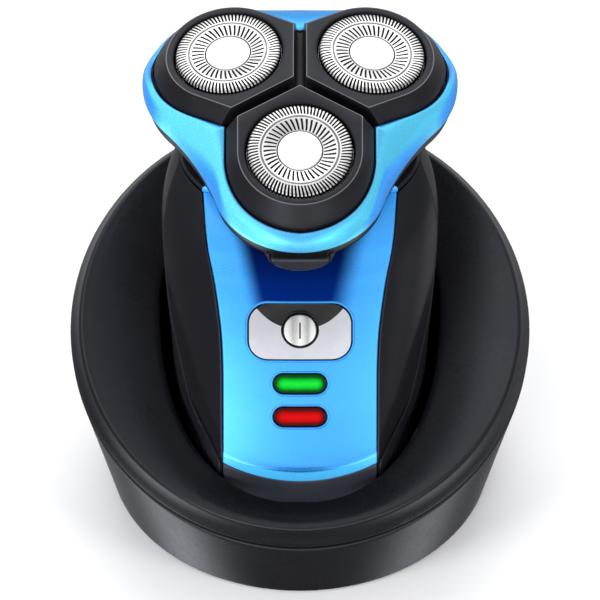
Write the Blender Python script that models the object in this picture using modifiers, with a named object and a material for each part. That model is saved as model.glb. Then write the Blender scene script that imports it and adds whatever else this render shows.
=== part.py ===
"""Rotary electric shaver standing in its slanted charging dock.

+Z is up, the front faces -Y, and the origin lies on the resting plane under the middle of the
whole object. Empties carry the frames of the shaver, its head, each cutting unit and the dock's
slanted cover. Dimensions are in millimetres and degrees; meshes are made in metres.
Bearings run round a frame's Z axis: 0 is forward (-Y), positive turns towards +X.
"""

from math import atan2, copysign, cos, degrees, dist, hypot, pi, radians, sin, sqrt, tan

import bmesh
import bpy
import numpy as np
from mathutils import Matrix, Vector

# ---------------------------------------------------------------- driving dimensions
MM = 0.001
SHELL = 1.8  # casing wall
GAP = 0.3  # seam between front and chin panels
FRONT_TRIM = 0.15  # taken off each side edge of the front and chin panels
SIDE_TRIM = 0.18  # taken off the edges of the side panels and the rear shell
SIDES = {"right": 1, "left": -1}

# dock
BASE_R = 42.7  # foot circle of the drum
FOOT_TO_MIDDLE = 1.03  # the whole object's middle lies this far behind the foot circle's centre
DISC_R = 51.7  # lower edge of the slanted cover's skirt
DISC_RIM_R = 49.4  # upper edge of the rim
DISC_RIM_H = 7.2
DISC_TILT = 25.6  # the cover leans towards the front
DISC_ORIGIN = (0.0, -1.6, 45.4)  # centre of the rim's upper edge
DISH_DEPTH = 3.0
WELL_P0 = -4.9  # widest line of the well's oval, forward along the slope
WELL_HALF = 31.5
WELL_FRONT = 46.9  # reach of the oval forward of its widest line
WELL_BACK = 27.6  # and backward
WELL_POWER = 2.25  # exponent of the oval
LIP_H = 2.2  # lip turned down round the well
LIP_SPREAD = 0.2  # the lip widens by this at its lower edge

# shaver
LEAN = 20.0  # the handle leans back from vertical
SHAVER_ORIGIN = (0.0, -19.06, 6.36)
HEAD_TILT = 26.7  # head axis against handle axis, forward
HEAD_FORWARD, HEAD_Z = 10.0, 106.8  # head centre in the shaver's frame
CONTACT_X, CONTACT_Y = 5.0, -2.0  # charging contacts and the dock's pins under them
SIXTH = pi / 3  # half of one unit's share of the head
UNIT_RHO = 18.6  # unit centre from head axis
UNIT_TILT = 8.0  # units lean outwards
UNIT_BEARINGS = {"front": 0.0, "right": 120.0, "left": -120.0}
HOLE_R = 12.35  # foil's opening in a unit
FLAT_W = 13.95  # half width and front reach of a unit's flat face
BEVEL_W, BEVEL_FRONT = 16.9, 18.2  # half width and front reach of its bevel
UNIT_DEPTH = 6.6
GROOVE = 1.3  # half width of the Y groove between units
SKIRT_R, SKIRT_WAIST = 19.8, 27.3  # lobe radius, distance of the hollows from the head axis
SKIRT_H = -11.0
SEAM_H = -12.0
HINGE_Y, HINGE_H = 29.2, -13.3
SHOULDER_H = -25.4  # top of the handle casing, in the head's frame
NECK_HALF = (15.5, 12.0)  # half axes of the collar's oval neck
HEAD_NECK_HALF = (15.9, 12.4)  # half axes of the lower head shell's neck
NECK_FORWARD = -1.5

# gear train
MODULE, PINION_TEETH, GEAR_TEETH = 1.08, 15, 18
GEAR_RHO = MODULE * (PINION_TEETH + GEAR_TEETH) / 2
GEAR_TOP, GEAR_BOTTOM = -14.6, -17.0
SPINDLE_TOP = -5.1

# front features, heights along the handle
TRIM_STATION = 54.7
TRIM_W, TRIM_H, TRIM_R = 23.4, 14.0, 4.2
LED_W, LED_H = 11.9, 4.6
LED_R = LED_H / 2 - 0.01
LED_STATIONS = {"green": 38.8, "red": 30.6}
FEATURE_GAP = 0.35  # between a front feature and its hole

# key: name, base colour, roughness, metallic
MATERIALS = {
    "blue": ("metallic_blue", (0.03, 0.32, 0.85), 0.28, 0.6),
    "gloss": ("gloss_black", (0.018, 0.018, 0.022), 0.18, 0.0),
    "satin": ("satin_black", (0.03, 0.03, 0.035), 0.42, 0.0),
    "grey": ("grey_plastic", (0.35, 0.36, 0.38), 0.5, 0.0),
    "steel": ("steel", (0.75, 0.75, 0.74), 0.25, 1.0),
    "chrome": ("chrome", (0.86, 0.86, 0.88), 0.07, 1.0),
    "brass": ("brass", (0.75, 0.58, 0.3), 0.3, 1.0),
    "rubber": ("rubber", (0.02, 0.02, 0.02), 0.8, 0.0),
    "board": ("board_green", (0.02, 0.18, 0.07), 0.45, 0.0),
    "green": ("green_lens", (0.02, 0.75, 0.08), 0.25, 0.0),
    "red": ("red_lens", (0.75, 0.02, 0.02), 0.25, 0.0),
    "cell": ("cell_wrap", (0.12, 0.2, 0.5), 0.4, 0.0),
    "gear": ("gear_white", (0.82, 0.82, 0.78), 0.45, 0.0),
}


# ---------------------------------------------------------------- scene
def new_collection(name):
    collection = bpy.data.collections.new(name)
    bpy.context.scene.collection.children.link(collection)
    return collection


def new_material(name, colour, roughness, metallic):
    mat = bpy.data.materials.new(name)
    mat.use_nodes = True
    inputs = mat.node_tree.nodes["Principled BSDF"].inputs
    inputs["Base Color"].default_value = (*colour, 1.0)
    inputs["Roughness"].default_value = roughness
    inputs["Metallic"].default_value = metallic
    return mat


for old in list(bpy.data.objects):
    bpy.data.objects.remove(old, do_unlink=True)
parts = new_collection("rotary_shaver")
tools = new_collection("cutters")
materials = {key: new_material(*spec) for key, spec in MATERIALS.items()}


def empty(name, location, rx=0.0, rz=0.0, parent=None):
    frame = bpy.data.objects.new(name, None)
    parts.objects.link(frame)
    frame.parent = parent
    frame.location = Vector(location) * MM
    frame.rotation_euler = (radians(rx), 0.0, radians(rz))
    frame.empty_display_size = 0.01
    return frame


def to_object(name, bm, parent, mat, collection):
    """A bmesh in millimetres becomes an object in metres, in its parent's frame."""
    bmesh.ops.scale(bm, vec=(MM, MM, MM), verts=bm.verts)
    mesh = bpy.data.meshes.new(name)
    bm.to_mesh(mesh)
    bm.free()
    mesh.materials.append(materials[mat])
    ob = bpy.data.objects.new(name, mesh)
    collection.objects.link(ob)
    ob.parent = parent
    return ob


def add(name, bm, parent, mat, sharp=35.0, collection=parts):
    """A solid, smooth shaded but for edges over the sharp angle."""
    bmesh.ops.recalc_face_normals(bm, faces=bm.faces)
    ob = to_object(name, bm, parent, mat, collection)
    ob.data.shade_smooth()
    ob.data.set_sharp_from_angle(angle=radians(sharp))
    return ob


def turned(name, profile, parent, mat, steps=24, loc=(0, 0, 0)):
    """A profile of (radius, height) that starts and ends on the axis, turned by Screw."""
    bm = bmesh.new()
    verts = [bm.verts.new((r, 0.0, z)) for r, z in profile]
    for pair in zip(verts, verts[1:]):
        bm.edges.new(pair)
    ob = to_object(name, bm, parent, mat, parts)
    ob.location = Vector(loc) * MM
    screw = ob.modifiers.new("turn", "SCREW")
    screw.steps = screw.render_steps = steps
    screw.use_merge_vertices = True
    screw.merge_threshold = 0.00002
    screw.use_smooth_shade = True


def helper(name, bm, parent):
    """A hidden solid for booleans."""
    ob = add(name, bm, parent, "grey", collection=tools)
    ob.hide_render = True
    ob.display_type = "WIRE"
    return ob


def boolean(ob, other, operation="DIFFERENCE"):
    mod = ob.modifiers.new(operation.lower() + "_" + other.name, "BOOLEAN")
    mod.operation = operation
    mod.object = other
    mod.solver = "EXACT"


def cut(ob, name, bm, parent):
    boolean(ob, helper(name, bm, parent))


def join(ob, name, bm, parent):
    boolean(ob, helper(name, bm, parent), "UNION")


# ---------------------------------------------------------------- solids
def quads(bm, ring_a, ring_b, closed=True):
    n = len(ring_a)
    for i in range(n if closed else n - 1):
        j = (i + 1) % n
        bm.faces.new((ring_a[i], ring_a[j], ring_b[j], ring_b[i]))


def ring_solid(rings):
    """Rings of equal length joined in a loop: the solid between them has a hole through it."""
    bm = bmesh.new()
    made = [[bm.verts.new(p) for p in ring] for ring in rings]
    for k in range(len(made)):
        quads(bm, made[k], made[(k + 1) % len(made)])
    return bm


def loft(rings):
    """Rings of equal length joined in order, capped at both ends."""
    bm = bmesh.new()
    made = [[bm.verts.new(p) for p in ring] for ring in rings]
    for lower, upper in zip(made, made[1:]):
        quads(bm, lower, upper)
    bm.faces.new(made[0])
    bm.faces.new(list(reversed(made[-1])))
    return bm


def sheet_solid(outer, inner):
    """Two grids of points, outside and inside of a curved sheet, closed round the border."""
    bm = bmesh.new()
    outside = [[bm.verts.new(p) for p in row] for row in outer]
    inside = [[bm.verts.new(p) for p in row] for row in inner]
    for r in range(len(outside) - 1):
        quads(bm, outside[r], outside[r + 1], closed=False)
        quads(bm, inside[r + 1], inside[r], closed=False)
    for r in (0, -1):
        quads(bm, outside[r], inside[r], closed=False)
    for c in (0, -1):
        quads(bm, [row[c] for row in outside], [row[c] for row in inside], closed=False)
    return bm


def cylinder(radius, z0, z1, segments=24, x=0.0, y=0.0):
    bm = bmesh.new()
    bmesh.ops.create_cone(
        bm, cap_ends=True, segments=segments, radius1=radius, radius2=radius, depth=z1 - z0
    )
    bmesh.ops.translate(bm, vec=(x, y, (z0 + z1) / 2), verts=bm.verts)
    return bm


def box(x_span, y_span, z_span, bevel=0.0):
    spans = (x_span, y_span, z_span)
    bm = bmesh.new()
    bmesh.ops.create_cube(bm, size=1.0)
    bmesh.ops.scale(bm, vec=[high - low for low, high in spans], verts=bm.verts)
    bmesh.ops.translate(bm, vec=[(low + high) / 2 for low, high in spans], verts=bm.verts)
    if bevel:
        bmesh.ops.bevel(bm, geom=list(bm.edges), offset=bevel, segments=1, affect="EDGES")
    return bm


# ---------------------------------------------------------------- outlines and rings
def at_bearing(radius, angle):
    return radius * sin(angle), -radius * cos(angle)


def bearings(n):
    return [2 * pi * i / n for i in range(n)]


def level(outline, z):
    return [(x, y, z) for x, y in outline]


def onto_circle(outline, radius, z):
    """The outline's points moved radially onto a circle."""
    return [(radius * x / hypot(x, y), radius * y / hypot(x, y), z) for x, y in outline]


def prism(outline, z0, z1):
    return loft([level(outline, z0), level(outline, z1)])


def mirrored(half):
    """Closes a right half whose first and last points lie on the centre line."""
    return half + [(-x, y) for x, y in reversed(half[1:-1])]


def oval_radius(angle, half_axes):
    return 1 / hypot(sin(angle) / half_axes[0], cos(angle) / half_axes[1])


def rounded_rect(width, height, radius, n=4):
    points = []
    for quarter, (sx, sy) in enumerate(((1, 1), (-1, 1), (-1, -1), (1, -1))):
        cx, cy = sx * (width / 2 - radius), sy * (height / 2 - radius)
        for k in range(n + 1):
            angle = radians(90 * quarter + 90 * k / n)
            points.append((cx + radius * cos(angle), cy + radius * sin(angle)))
    return points


def toothed(count, tooth, phase=0.0):
    """A wheel's outline; tooth lists (offset in pitches, radius) of one tooth's corners."""
    return [
        at_bearing(radius, 2 * pi * (k + offset) / count + phase)
        for k in range(count)
        for offset, radius in tooth
    ]


def gear_outline(teeth, phase=0.0):
    tip, root = MODULE * teeth / 2 + MODULE * 0.8, MODULE * teeth / 2 - MODULE * 1.1
    return toothed(teeth, ((-0.30, root), (-0.14, tip), (0.14, tip), (0.30, root)), phase)


# ---------------------------------------------------------------- handle outline
# station, front, crown, panel half width, crease x, crease forward,
# widest x, widest forward, back
STATIONS = np.array(
    [
        (6, 14.5, 1.0, 13.5, 14.0, 13.0, 17.5, -3, 10.0),
        (8, 17.3, 1.2, 15.8, 16.3, 15.4, 21.0, -4, 13.0),
        (11, 19.0, 1.3, 17.0, 17.5, 17.0, 23.6, -5, 15.6),
        (14, 20.2, 1.4, 17.4, 17.9, 18.2, 25.0, -6, 17.5),
        (18, 21.6, 1.5, 17.5, 18.0, 19.5, 26.4, -7, 19.5),
        (22, 21.9, 1.5, 17.5, 20.6, 15.0, 27.2, -8, 21.0),
        (30, 22.0, 1.6, 17.5, 24.7, 11.5, 28.3, -8, 23.0),
        (40, 21.6, 1.6, 17.5, 27.1, 9.0, 29.0, -7, 24.4),
        (50, 21.2, 1.6, 17.8, 29.1, 7.0, 29.9, -5, 25.0),
        (60, 21.0, 1.6, 19.0, 30.2, 6.0, 30.6, -3, 25.0),
        (70, 21.0, 1.8, 20.4, 30.8, 5.0, 31.0, -1, 24.0),
        (76, 20.2, 2.0, 21.3, 30.6, 4.2, 30.7, -1, 22.8),
        (80, 17.6, 2.2, 22.0, 29.8, 3.2, 29.9, -1, 21.5),
        (84, 12.0, 2.0, 22.0, 27.8, 1.5, 28.0, -1, 19.5),
    ]
)
CASING_FOOT, CASING_TOP = float(STATIONS[0, 0]), float(STATIONS[-1, 0])
SIDE_STATIONS = [19.2, 22, 26, 32, 40, 50, 60, 68, 74, 78, 81, 84]
REAR_STATIONS = [6, 8, 11, 15] + SIDE_STATIONS
CASING_AXIS = (0.0, -1.0)  # (x, forward) point that the casing's wall thickens towards
SIDE_BULGE = 0.14  # of a side panel's width
REAR_POWER = 2.3  # exponent of the rear's rounded outline
REAR_TURN = 0.25  # where along the rear outline the widest point lies


def hermite(xs, ys, x):
    """A smooth curve through a table, without overshoot."""
    widths, slopes = np.diff(xs), np.diff(ys) / np.diff(xs)
    tangents = np.zeros(len(xs))
    tangents[0], tangents[-1] = slopes[0], slopes[-1]
    for k in range(1, len(xs) - 1):
        if slopes[k - 1] * slopes[k] > 0:
            w1 = 2 * widths[k] + widths[k - 1]
            w2 = widths[k] + 2 * widths[k - 1]
            tangents[k] = (w1 + w2) / (w1 / slopes[k - 1] + w2 / slopes[k])
    x = min(max(float(x), xs[0]), xs[-1])
    k = min(int(np.searchsorted(xs, x, "right")) - 1, len(xs) - 2)
    t = (x - xs[k]) / widths[k]
    return float(
        (2 * t**3 - 3 * t**2 + 1) * ys[k]
        + (t**3 - 2 * t**2 + t) * widths[k] * tangents[k]
        + (-2 * t**3 + 3 * t**2) * ys[k + 1]
        + (t**3 - t**2) * widths[k] * tangents[k + 1]
    )


def section(station):
    """The eight dimensions of the outline at a station."""
    return [hermite(STATIONS[:, 0], STATIONS[:, k], station) for k in range(1, 9)]


def place(x, forward, station):
    """Station coordinates to the shaver's frame.

    A station's plane is level low on the handle and parallel to the head at its top.
    """
    u = min(max((station - 35.0) / 51.0, 0.0), 1.0)
    blend = u * u * (3 - 2 * u)
    offset, tilt = -1.7 * blend, radians(HEAD_TILT) * blend
    return x, -(offset + forward * cos(tilt)), station - forward * sin(tilt)


def bezier(a, b, c, s):
    return tuple((1 - s) ** 2 * p + 2 * s * (1 - s) * q + s * s * r for p, q, r in zip(a, b, c))


# The next three give (x, forward) of the casing's outline at a station.
def front_point(s, station):
    """Front panel: s runs from -1 at its left edge to 1 at its right."""
    front, crown, half_width = section(station)[:3]
    return half_width * s, front - crown * s * s


def side_point(s, station):
    """Right side panel: s runs from 0 at the front panel to 1 at the crease."""
    front, crown, half_width, crease_x, crease_forward = section(station)[:5]
    start, end = (half_width, front - crown), (crease_x, crease_forward)
    dx, df = end[0] - start[0], end[1] - start[1]
    middle = (
        (start[0] + end[0]) / 2 - df * SIDE_BULGE,
        (start[1] + end[1]) / 2 + dx * SIDE_BULGE,
    )
    return bezier(start, middle, end, s)


def rear_point(s, station):
    """Right half of the rear shell: s runs from 0 at the crease to 1 at the back."""
    crease_x, crease_forward, wide_x, wide_forward, back = section(station)[3:]
    if s < REAR_TURN:
        control = (wide_x, crease_forward - (crease_forward - wide_forward) * 0.4)
        start, end = (crease_x, crease_forward), (wide_x, wide_forward)
        return bezier(start, control, end, s / REAR_TURN)
    angle = (s - REAR_TURN) / (1 - REAR_TURN) * pi / 2
    return (
        wide_x * max(cos(angle), 0.0) ** (2 / REAR_POWER),
        wide_forward - (wide_forward + back) * sin(angle) ** (2 / REAR_POWER),
    )


def casing_outline(station):
    """The whole closed outline as (x, forward), from the front centre round by +X."""
    half = [front_point(k / 4, station) for k in range(4)]
    half += [side_point(k / 3, station) for k in range(3)]
    half += [rear_point(k / 10, station) for k in range(11)]
    return mirrored(half)


def reach(outline, angle, centre=(0.0, 0.0)):
    """Distance along a bearing from centre to a closed (x, forward) outline."""
    dx, df = sin(angle), cos(angle)
    best = 0.0
    for (x0, f0), (x1, f1) in zip(outline, outline[1:] + outline[:1]):
        x0, x1 = x0 - centre[0], x1 - centre[0]
        f0, f1 = f0 - centre[1], f1 - centre[1]
        cross = dx * (f1 - f0) - df * (x1 - x0)
        if abs(cross) < 1e-12:
            continue
        distance = (x0 * (f1 - f0) - f0 * (x1 - x0)) / cross
        along = (x0 * df - f0 * dx) / cross
        if distance > 0 and -1e-9 <= along <= 1 + 1e-9:
            best = max(best, distance)
    return best


# ---------------------------------------------------------------- frames
shaver = empty("shaver_frame", SHAVER_ORIGIN, rx=-LEAN)
head = empty("head_frame", (0, -HEAD_FORWARD, HEAD_Z), rx=HEAD_TILT, parent=shaver)
disc = empty("disc_frame", DISC_ORIGIN, rx=DISC_TILT)


# ---------------------------------------------------------------- handle casing
def inward(x, forward):
    """A casing point moved in by the wall."""
    dx, df = CASING_AXIS[0] - x, CASING_AXIS[1] - forward
    length = hypot(dx, df)
    return x + dx / length * SHELL, forward + df / length * SHELL


def casing_sheet(name, rows, mat):
    """A wall of the casing from rows of (x, forward, station)."""
    outer = [[place(x, f, z) for x, f, z in row] for row in rows]
    inner = [[place(*inward(x, f), z) for x, f, z in row] for row in rows]
    return add(name, sheet_solid(outer, inner), shaver, mat)


def panel_foot(s):
    """Lower edge of the front panel, an arc that dips at the middle."""
    return 13.5 + 4.8 * s * s


def front_rows(fractions, low, high):
    """Rows across the front, at fractions of the way between two edges given along s."""
    rows = []
    for fraction in fractions:
        row = []
        for s in (-1 + k / 3 for k in range(7)):
            station = low(s) + (high(s) - low(s)) * fraction
            half_width = section(station)[2]
            row.append((*front_point(s * (1 - FRONT_TRIM / half_width), station), station))
        rows.append(row)
    return rows


def build_front_panel():
    side_foot = panel_foot(1)
    fractions = [0.0] + [(z - side_foot) / (CASING_TOP - side_foot) for z in SIDE_STATIONS]
    rows = front_rows(fractions, panel_foot, lambda s: CASING_TOP)
    return casing_sheet("front_panel", rows, "blue")


def build_chin_panel():
    fractions = (0.0, 0.25, 0.5, 0.75, 1.0)
    rows = front_rows(fractions, lambda s: CASING_FOOT, lambda s: panel_foot(s) - GAP)
    casing_sheet("chin_panel", rows, "satin")


def build_side_panels():
    for side, sign in SIDES.items():
        rows = []
        for z in SIDE_STATIONS:
            trim = SIDE_TRIM / dist(side_point(0, z), side_point(1, z))
            points = [side_point(trim + (1 - 2 * trim) * k / 3, z) for k in range(4)]
            rows.append([(sign * x, f, z) for x, f in points])
        casing_sheet(f"side_panel_{side}", rows, "gloss")


def build_rear_shell():
    rows = []
    for z in REAR_STATIONS:
        probe = 0.05  # a short step from the crease, to turn the trim into a share of s
        trim = probe * SIDE_TRIM / dist(rear_point(0, z), rear_point(probe, z))
        steps = [trim, 0.12] + [REAR_TURN + (1 - REAR_TURN) * k / 6 for k in range(7)]
        half = [(*rear_point(s, z), z) for s in steps]
        rows.append(half + [(-x, f, z) for x, f, z in reversed(half[:-1])])
    casing_sheet("rear_shell", rows, "satin")


def build_bottom_cap():
    """Closes the handle's foot and carries two charging contacts."""
    upper = [(x * 0.97, -f * 0.97) for x, f in casing_outline(CASING_FOOT)]
    lower = [(x * 0.9, y * 0.9) for x, y in upper]
    shape = loft([level(lower, 4.8), level(upper, 5.2), level(upper, 5.7)])
    cap = add("bottom_cap", shape, shaver, "satin")
    for side, sign in SIDES.items():
        x = sign * CONTACT_X
        cut(cap, f"contact_hole_{side}", cylinder(1.9, 3.5, 7.0, 16, x, CONTACT_Y), shaver)
        contact = cylinder(1.6, 4.8, 7.4, 16, x, CONTACT_Y)
        add(f"charge_contact_{side}", contact, shaver, "brass")


# share of the way from the casing's outline to the neck, height in the head's frame, inset
COLLAR_RINGS = (
    (0.0, SHOULDER_H + 0.1, 0.0),
    (0.25, SHOULDER_H + 0.9, 0.0),
    (0.7, SHOULDER_H + 1.6, 0.0),
    (1.0, SHOULDER_H + 2.1, 0.0),
    (1.0, -22.0, 0.0),
    (1.0, -22.0, 1.8),
    (1.0, SHOULDER_H + 0.7, 1.8),
    (0.0, SHOULDER_H + 0.1, 2.6),
)


def head_to_shaver(x, forward, h):
    c, s = cos(radians(HEAD_TILT)), sin(radians(HEAD_TILT))
    return x, -(HEAD_FORWARD + c * forward + s * h), HEAD_Z - s * forward + c * h


def build_neck_collar():
    """From the casing's top outline in to the oval neck."""
    casing_top = casing_outline(CASING_TOP)
    rings = []
    for share, h, inset in COLLAR_RINGS:
        ring = []
        for angle in bearings(32):
            wide = reach(casing_top, angle, (0.0, NECK_FORWARD))
            r = wide + (oval_radius(angle, NECK_HALF) - wide) * share - inset
            ring.append(head_to_shaver(r * sin(angle), NECK_FORWARD + r * cos(angle), h))
        rings.append(ring)
    add("neck_collar", ring_solid(rings), shaver, "satin")


# ---------------------------------------------------------------- front features
def surface_frame(name, station):
    """A frame on the front panel's centre line whose Z leaves the surface."""
    below, above = (Vector(place(*front_point(0, z), z)) for z in (station - 2, station + 2))
    along = above - below
    origin = place(*front_point(0, station), station)
    return empty(name, origin, rx=degrees(atan2(along.z, along.y)), parent=shaver)


def feature_hole(width, height, radius):
    """A hole through the front panel, with a gap round the feature's outline."""
    gap = FEATURE_GAP
    return prism(rounded_rect(width + 2 * gap, height + 2 * gap, radius + gap), -5, 5)


def build_power_button(front_panel):
    """Round button in a rectangular trim plate."""
    frame = surface_frame("trim_frame", TRIM_STATION)
    cut(front_panel, "trim_hole", feature_hole(TRIM_W, TRIM_H, TRIM_R), frame)
    plate = prism(rounded_rect(TRIM_W, TRIM_H, TRIM_R), -1.7, 0.45)
    trim = add("trim_plate", plate, frame, "chrome")
    cut(trim, "button_hole", cylinder(4.0, -4, 4), frame)
    button = add("power_button", cylinder(3.7, -2.6, 1.1), frame, "steel")
    bevel = button.modifiers.new("edge", "BEVEL")
    bevel.width = 0.3 * MM
    bevel.segments = 1
    bevel.limit_method = "ANGLE"


def build_led_lenses(front_panel):
    for colour, station in LED_STATIONS.items():
        name = f"led_lens_{colour}"
        frame = surface_frame(name + "_frame", station)
        cut(front_panel, name + "_hole", feature_hole(LED_W, LED_H, LED_R), frame)
        add(name, prism(rounded_rect(LED_W, LED_H, LED_R), -2.4, 0.1), frame, colour)


# ---------------------------------------------------------------- inside the handle
CHASSIS_SCREW_X, CHASSIS_SCREW_Z = 12, 48.5
CHASSIS_SCREW = [(0, 1.4), (2.0, 1.1), (2.2, 0.0), (1.0, 0.0), (1.0, -6.5), (0, -7.2)]
BATTERY = [(0, 51.0), (2.6, 51.0), (2.6, 50.0), (7.1, 50.0), (7.1, 8.2), (0, 8.2)]
MOTOR = [
    (0, -28.5), (3.0, -28.5), (3.0, -29.4), (9.6, -29.4),
    (10.0, -29.9), (10.0, -47.6), (9.4, -48.4), (0, -48.4),
]


def build_chassis():
    """Flat frame with a window and two screws, and the circuit board in front of it."""
    chassis = add("inner_chassis", box((-16, 16), (-8, -6), (11, 54), 0.5), shaver, "grey")
    cut(chassis, "chassis_window", box((-7, 7), (-12, -2), (22, 44)), shaver)
    for side, sign in SIDES.items():
        x, z = sign * CHASSIS_SCREW_X, CHASSIS_SCREW_Z
        hole = box((x - 1.5, x + 1.5), (-12, -2), (z - 1.5, z + 1.5))
        cut(chassis, f"screw_hole_{side}", hole, shaver)
        frame = empty(f"screw_frame_{side}", (x, -8.3, z), rx=90, parent=shaver)
        turned(f"chassis_screw_{side}", CHASSIS_SCREW, frame, "steel", 16)
    add("circuit_board", box((-14, 14), (-13.2, -11.6), (18, 60)), shaver, "board")


def build_power():
    """Battery along the handle, motor and its mount on the head's axis."""
    turned("battery", BATTERY, shaver, "cell", loc=(0, 3.5, 0))
    turned("motor", MOTOR, head, "steel", 28)
    mount = add("motor_mount", cylinder(11.5, -28.2, -26.7, 32), head, "grey")
    cut(mount, "mount_hole", cylinder(3.6, -31, -24), head)


# ---------------------------------------------------------------- gear train
SPINDLE = [
    (0, SPINDLE_TOP), (1.0, SPINDLE_TOP), (1.25, SPINDLE_TOP - 0.3), (1.25, -8.6),
    (2.0, -9.0), (2.0, -13.0), (1.3, -13.3), (1.3, -18.6), (0, -18.6),
]


def build_pinion():
    """Pinion on a long shaft that runs down through the neck to the motor."""
    shaft_r, bottom = 1.3, GEAR_BOTTOM - 0.4
    teeth = gear_outline(PINION_TEETH)
    rings = [
        onto_circle(teeth, shaft_r, -28.1),
        onto_circle(teeth, shaft_r, bottom),
        level(teeth, bottom),
        level(teeth, GEAR_TOP),
    ]
    add("drive_pinion", loft(rings), head, "brass")


def build_gears():
    """A gear and spindle for each cutting unit.

    The pinion's 15 teeth put a tooth towards every axle, so each gear turns a gap towards it.
    """
    outline = gear_outline(GEAR_TEETH, pi + pi / GEAR_TEETH)
    for name, bearing in UNIT_BEARINGS.items():
        origin = (*at_bearing(GEAR_RHO, radians(bearing)), 0)
        axle = empty(f"axle_{name}", origin, rz=bearing, parent=head)
        gear = add(f"drive_gear_{name}", prism(outline, GEAR_BOTTOM, GEAR_TOP), axle, "gear")
        cut(gear, f"gear_bore_{name}", cylinder(1.6, -20, -10, 12), axle)
        turned(f"drive_spindle_{name}", SPINDLE, axle, "gear", 12)


# ---------------------------------------------------------------- outlines of the head
def fold(angle):
    """Angle from the nearest unit's bearing, 0 to a sixth of a turn."""
    return abs((angle + SIXTH) % (2 * SIXTH) - SIXTH)


def lobed(angle, lobe_r, waist):
    """Radius at a bearing of three circles joined by hollow fillets that pass waist."""
    angle = fold(angle)
    rise = lobe_r - waist
    fillet_rho = (UNIT_RHO**2 - rise**2) / (UNIT_RHO + 2 * rise)
    fillet_r = fillet_rho - waist
    # the fillet touches the lobe on the line between their centres
    k = lobe_r / (lobe_r + fillet_r)
    touch_x = fillet_rho * sin(SIXTH) * k
    touch_forward = UNIT_RHO + (fillet_rho * cos(SIXTH) - UNIT_RHO) * k
    if angle <= atan2(touch_x, touch_forward):
        half_chord = sqrt(max(lobe_r**2 - (UNIT_RHO * sin(angle)) ** 2, 0))
        return UNIT_RHO * cos(angle) + half_chord
    rest = SIXTH - angle
    half_chord = sqrt(max(fillet_r**2 - (fillet_rho * sin(rest)) ** 2, 0))
    return fillet_rho * cos(rest) - half_chord


def head_outer(angle, inset=0.0):
    return lobed(angle, SKIRT_R - inset, SKIRT_WAIST - inset)


def head_ring(radius_of, height):
    """A ring round the head; height is a number or a function of the bearing."""
    return [
        (*at_bearing(radius_of(a), a), height(a) if callable(height) else height)
        for a in bearings(42)
    ]


# ---------------------------------------------------------------- head casing
# inner edge of the skirt: a U round each unit, as (x, forward)
U_WIDTH, U_FRONT, U_CENTRE = 17.35, 18.6, UNIT_RHO - 0.5
U_OUTLINE = [
    (U_WIDTH * sin(a), U_CENTRE + U_FRONT * cos(a)) for a in np.linspace(0, pi / 2, 25)
] + [(U_WIDTH, f) for f in np.linspace(U_CENTRE, U_WIDTH / tan(SIXTH), 9)[1:]]
U_ANGLES = [atan2(x, f) for x, f in U_OUTLINE]
U_RADII = [hypot(x, f) for x, f in U_OUTLINE]
# the edge's height, from between two units (0) to a unit's outer tip (1)
EDGE_SHARES = [0, 0.283, 0.64, 1]
EDGE_HEIGHTS = [-2.3, -3.8, -6.45, -7.6]


def skirt_inner(angle):
    return float(np.interp(fold(angle), U_ANGLES, U_RADII))


def skirt_inner_h(angle):
    return float(np.interp(1 - fold(angle) / SIXTH, EDGE_SHARES, EDGE_HEIGHTS))


def skirt_ring(turn):
    """A ring of the rounded top, turn running from 0 at the inner edge to 90 at the outer."""

    def radius(angle):
        inner = skirt_inner(angle)
        return inner + (head_outer(angle) - inner) * sin(radians(turn))

    def height(angle):
        return SKIRT_H + (skirt_inner_h(angle) - SKIRT_H) * cos(radians(turn))

    return head_ring(radius, height)


def build_skirt():
    rings = [skirt_ring(turn) for turn in (0, 25, 50, 72, 90)]
    rings.append(head_ring(lambda a: head_outer(a, 0.1), SEAM_H))
    rings.append(head_ring(lambda a: head_outer(a, 1.5), SEAM_H))
    rings.append(head_ring(lambda a: skirt_inner(a) + 0.05, lambda a: skirt_inner_h(a) - 1.5))
    return add("head_skirt", ring_solid(rings), head, "blue")


# height, scale of the head's outline, share of the neck's oval, inset
BASE_OUTER = (
    (-12.35, 0.975, 0.0, 0.0),
    (-15.0, 0.95, 0.0, 0.0),
    (-17.6, 0.86, 0.05, 0.0),
    (-19.6, 0.72, 0.25, 0.0),
    (-21.6, 0.46, 1.0, 0.0),
)
BASE_INNER = ((-19.5, 0.52, 0.6, 0.0), (-17.0, 0.86, 0.05, 1.7), (-12.35, 0.975, 0.0, 1.6))
SHAFT_HOLE_R = 3.0


def base_ring(height, scale, share, inset):
    def radius(angle):
        neck = oval_radius(angle, HEAD_NECK_HALF)
        return scale * head_outer(angle) * (1 - share) + neck * share - inset

    return head_ring(radius, height)


def build_head_base():
    """Lower shell, from the seam in to the neck, with a hole for the pinion's shaft."""
    rings = [base_ring(*row) for row in BASE_OUTER]
    rings += [head_ring(lambda a: SHAFT_HOLE_R, z) for z in (-21.6, -19.9)]
    rings += [base_ring(*row) for row in BASE_INNER]
    return add("head_base", ring_solid(rings), head, "satin")


def lobed_plate(lobe_r, waist, z0, z1):
    return loft([head_ring(lambda a: lobed(a, lobe_r, waist), z) for z in (z0, z1)])


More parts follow.
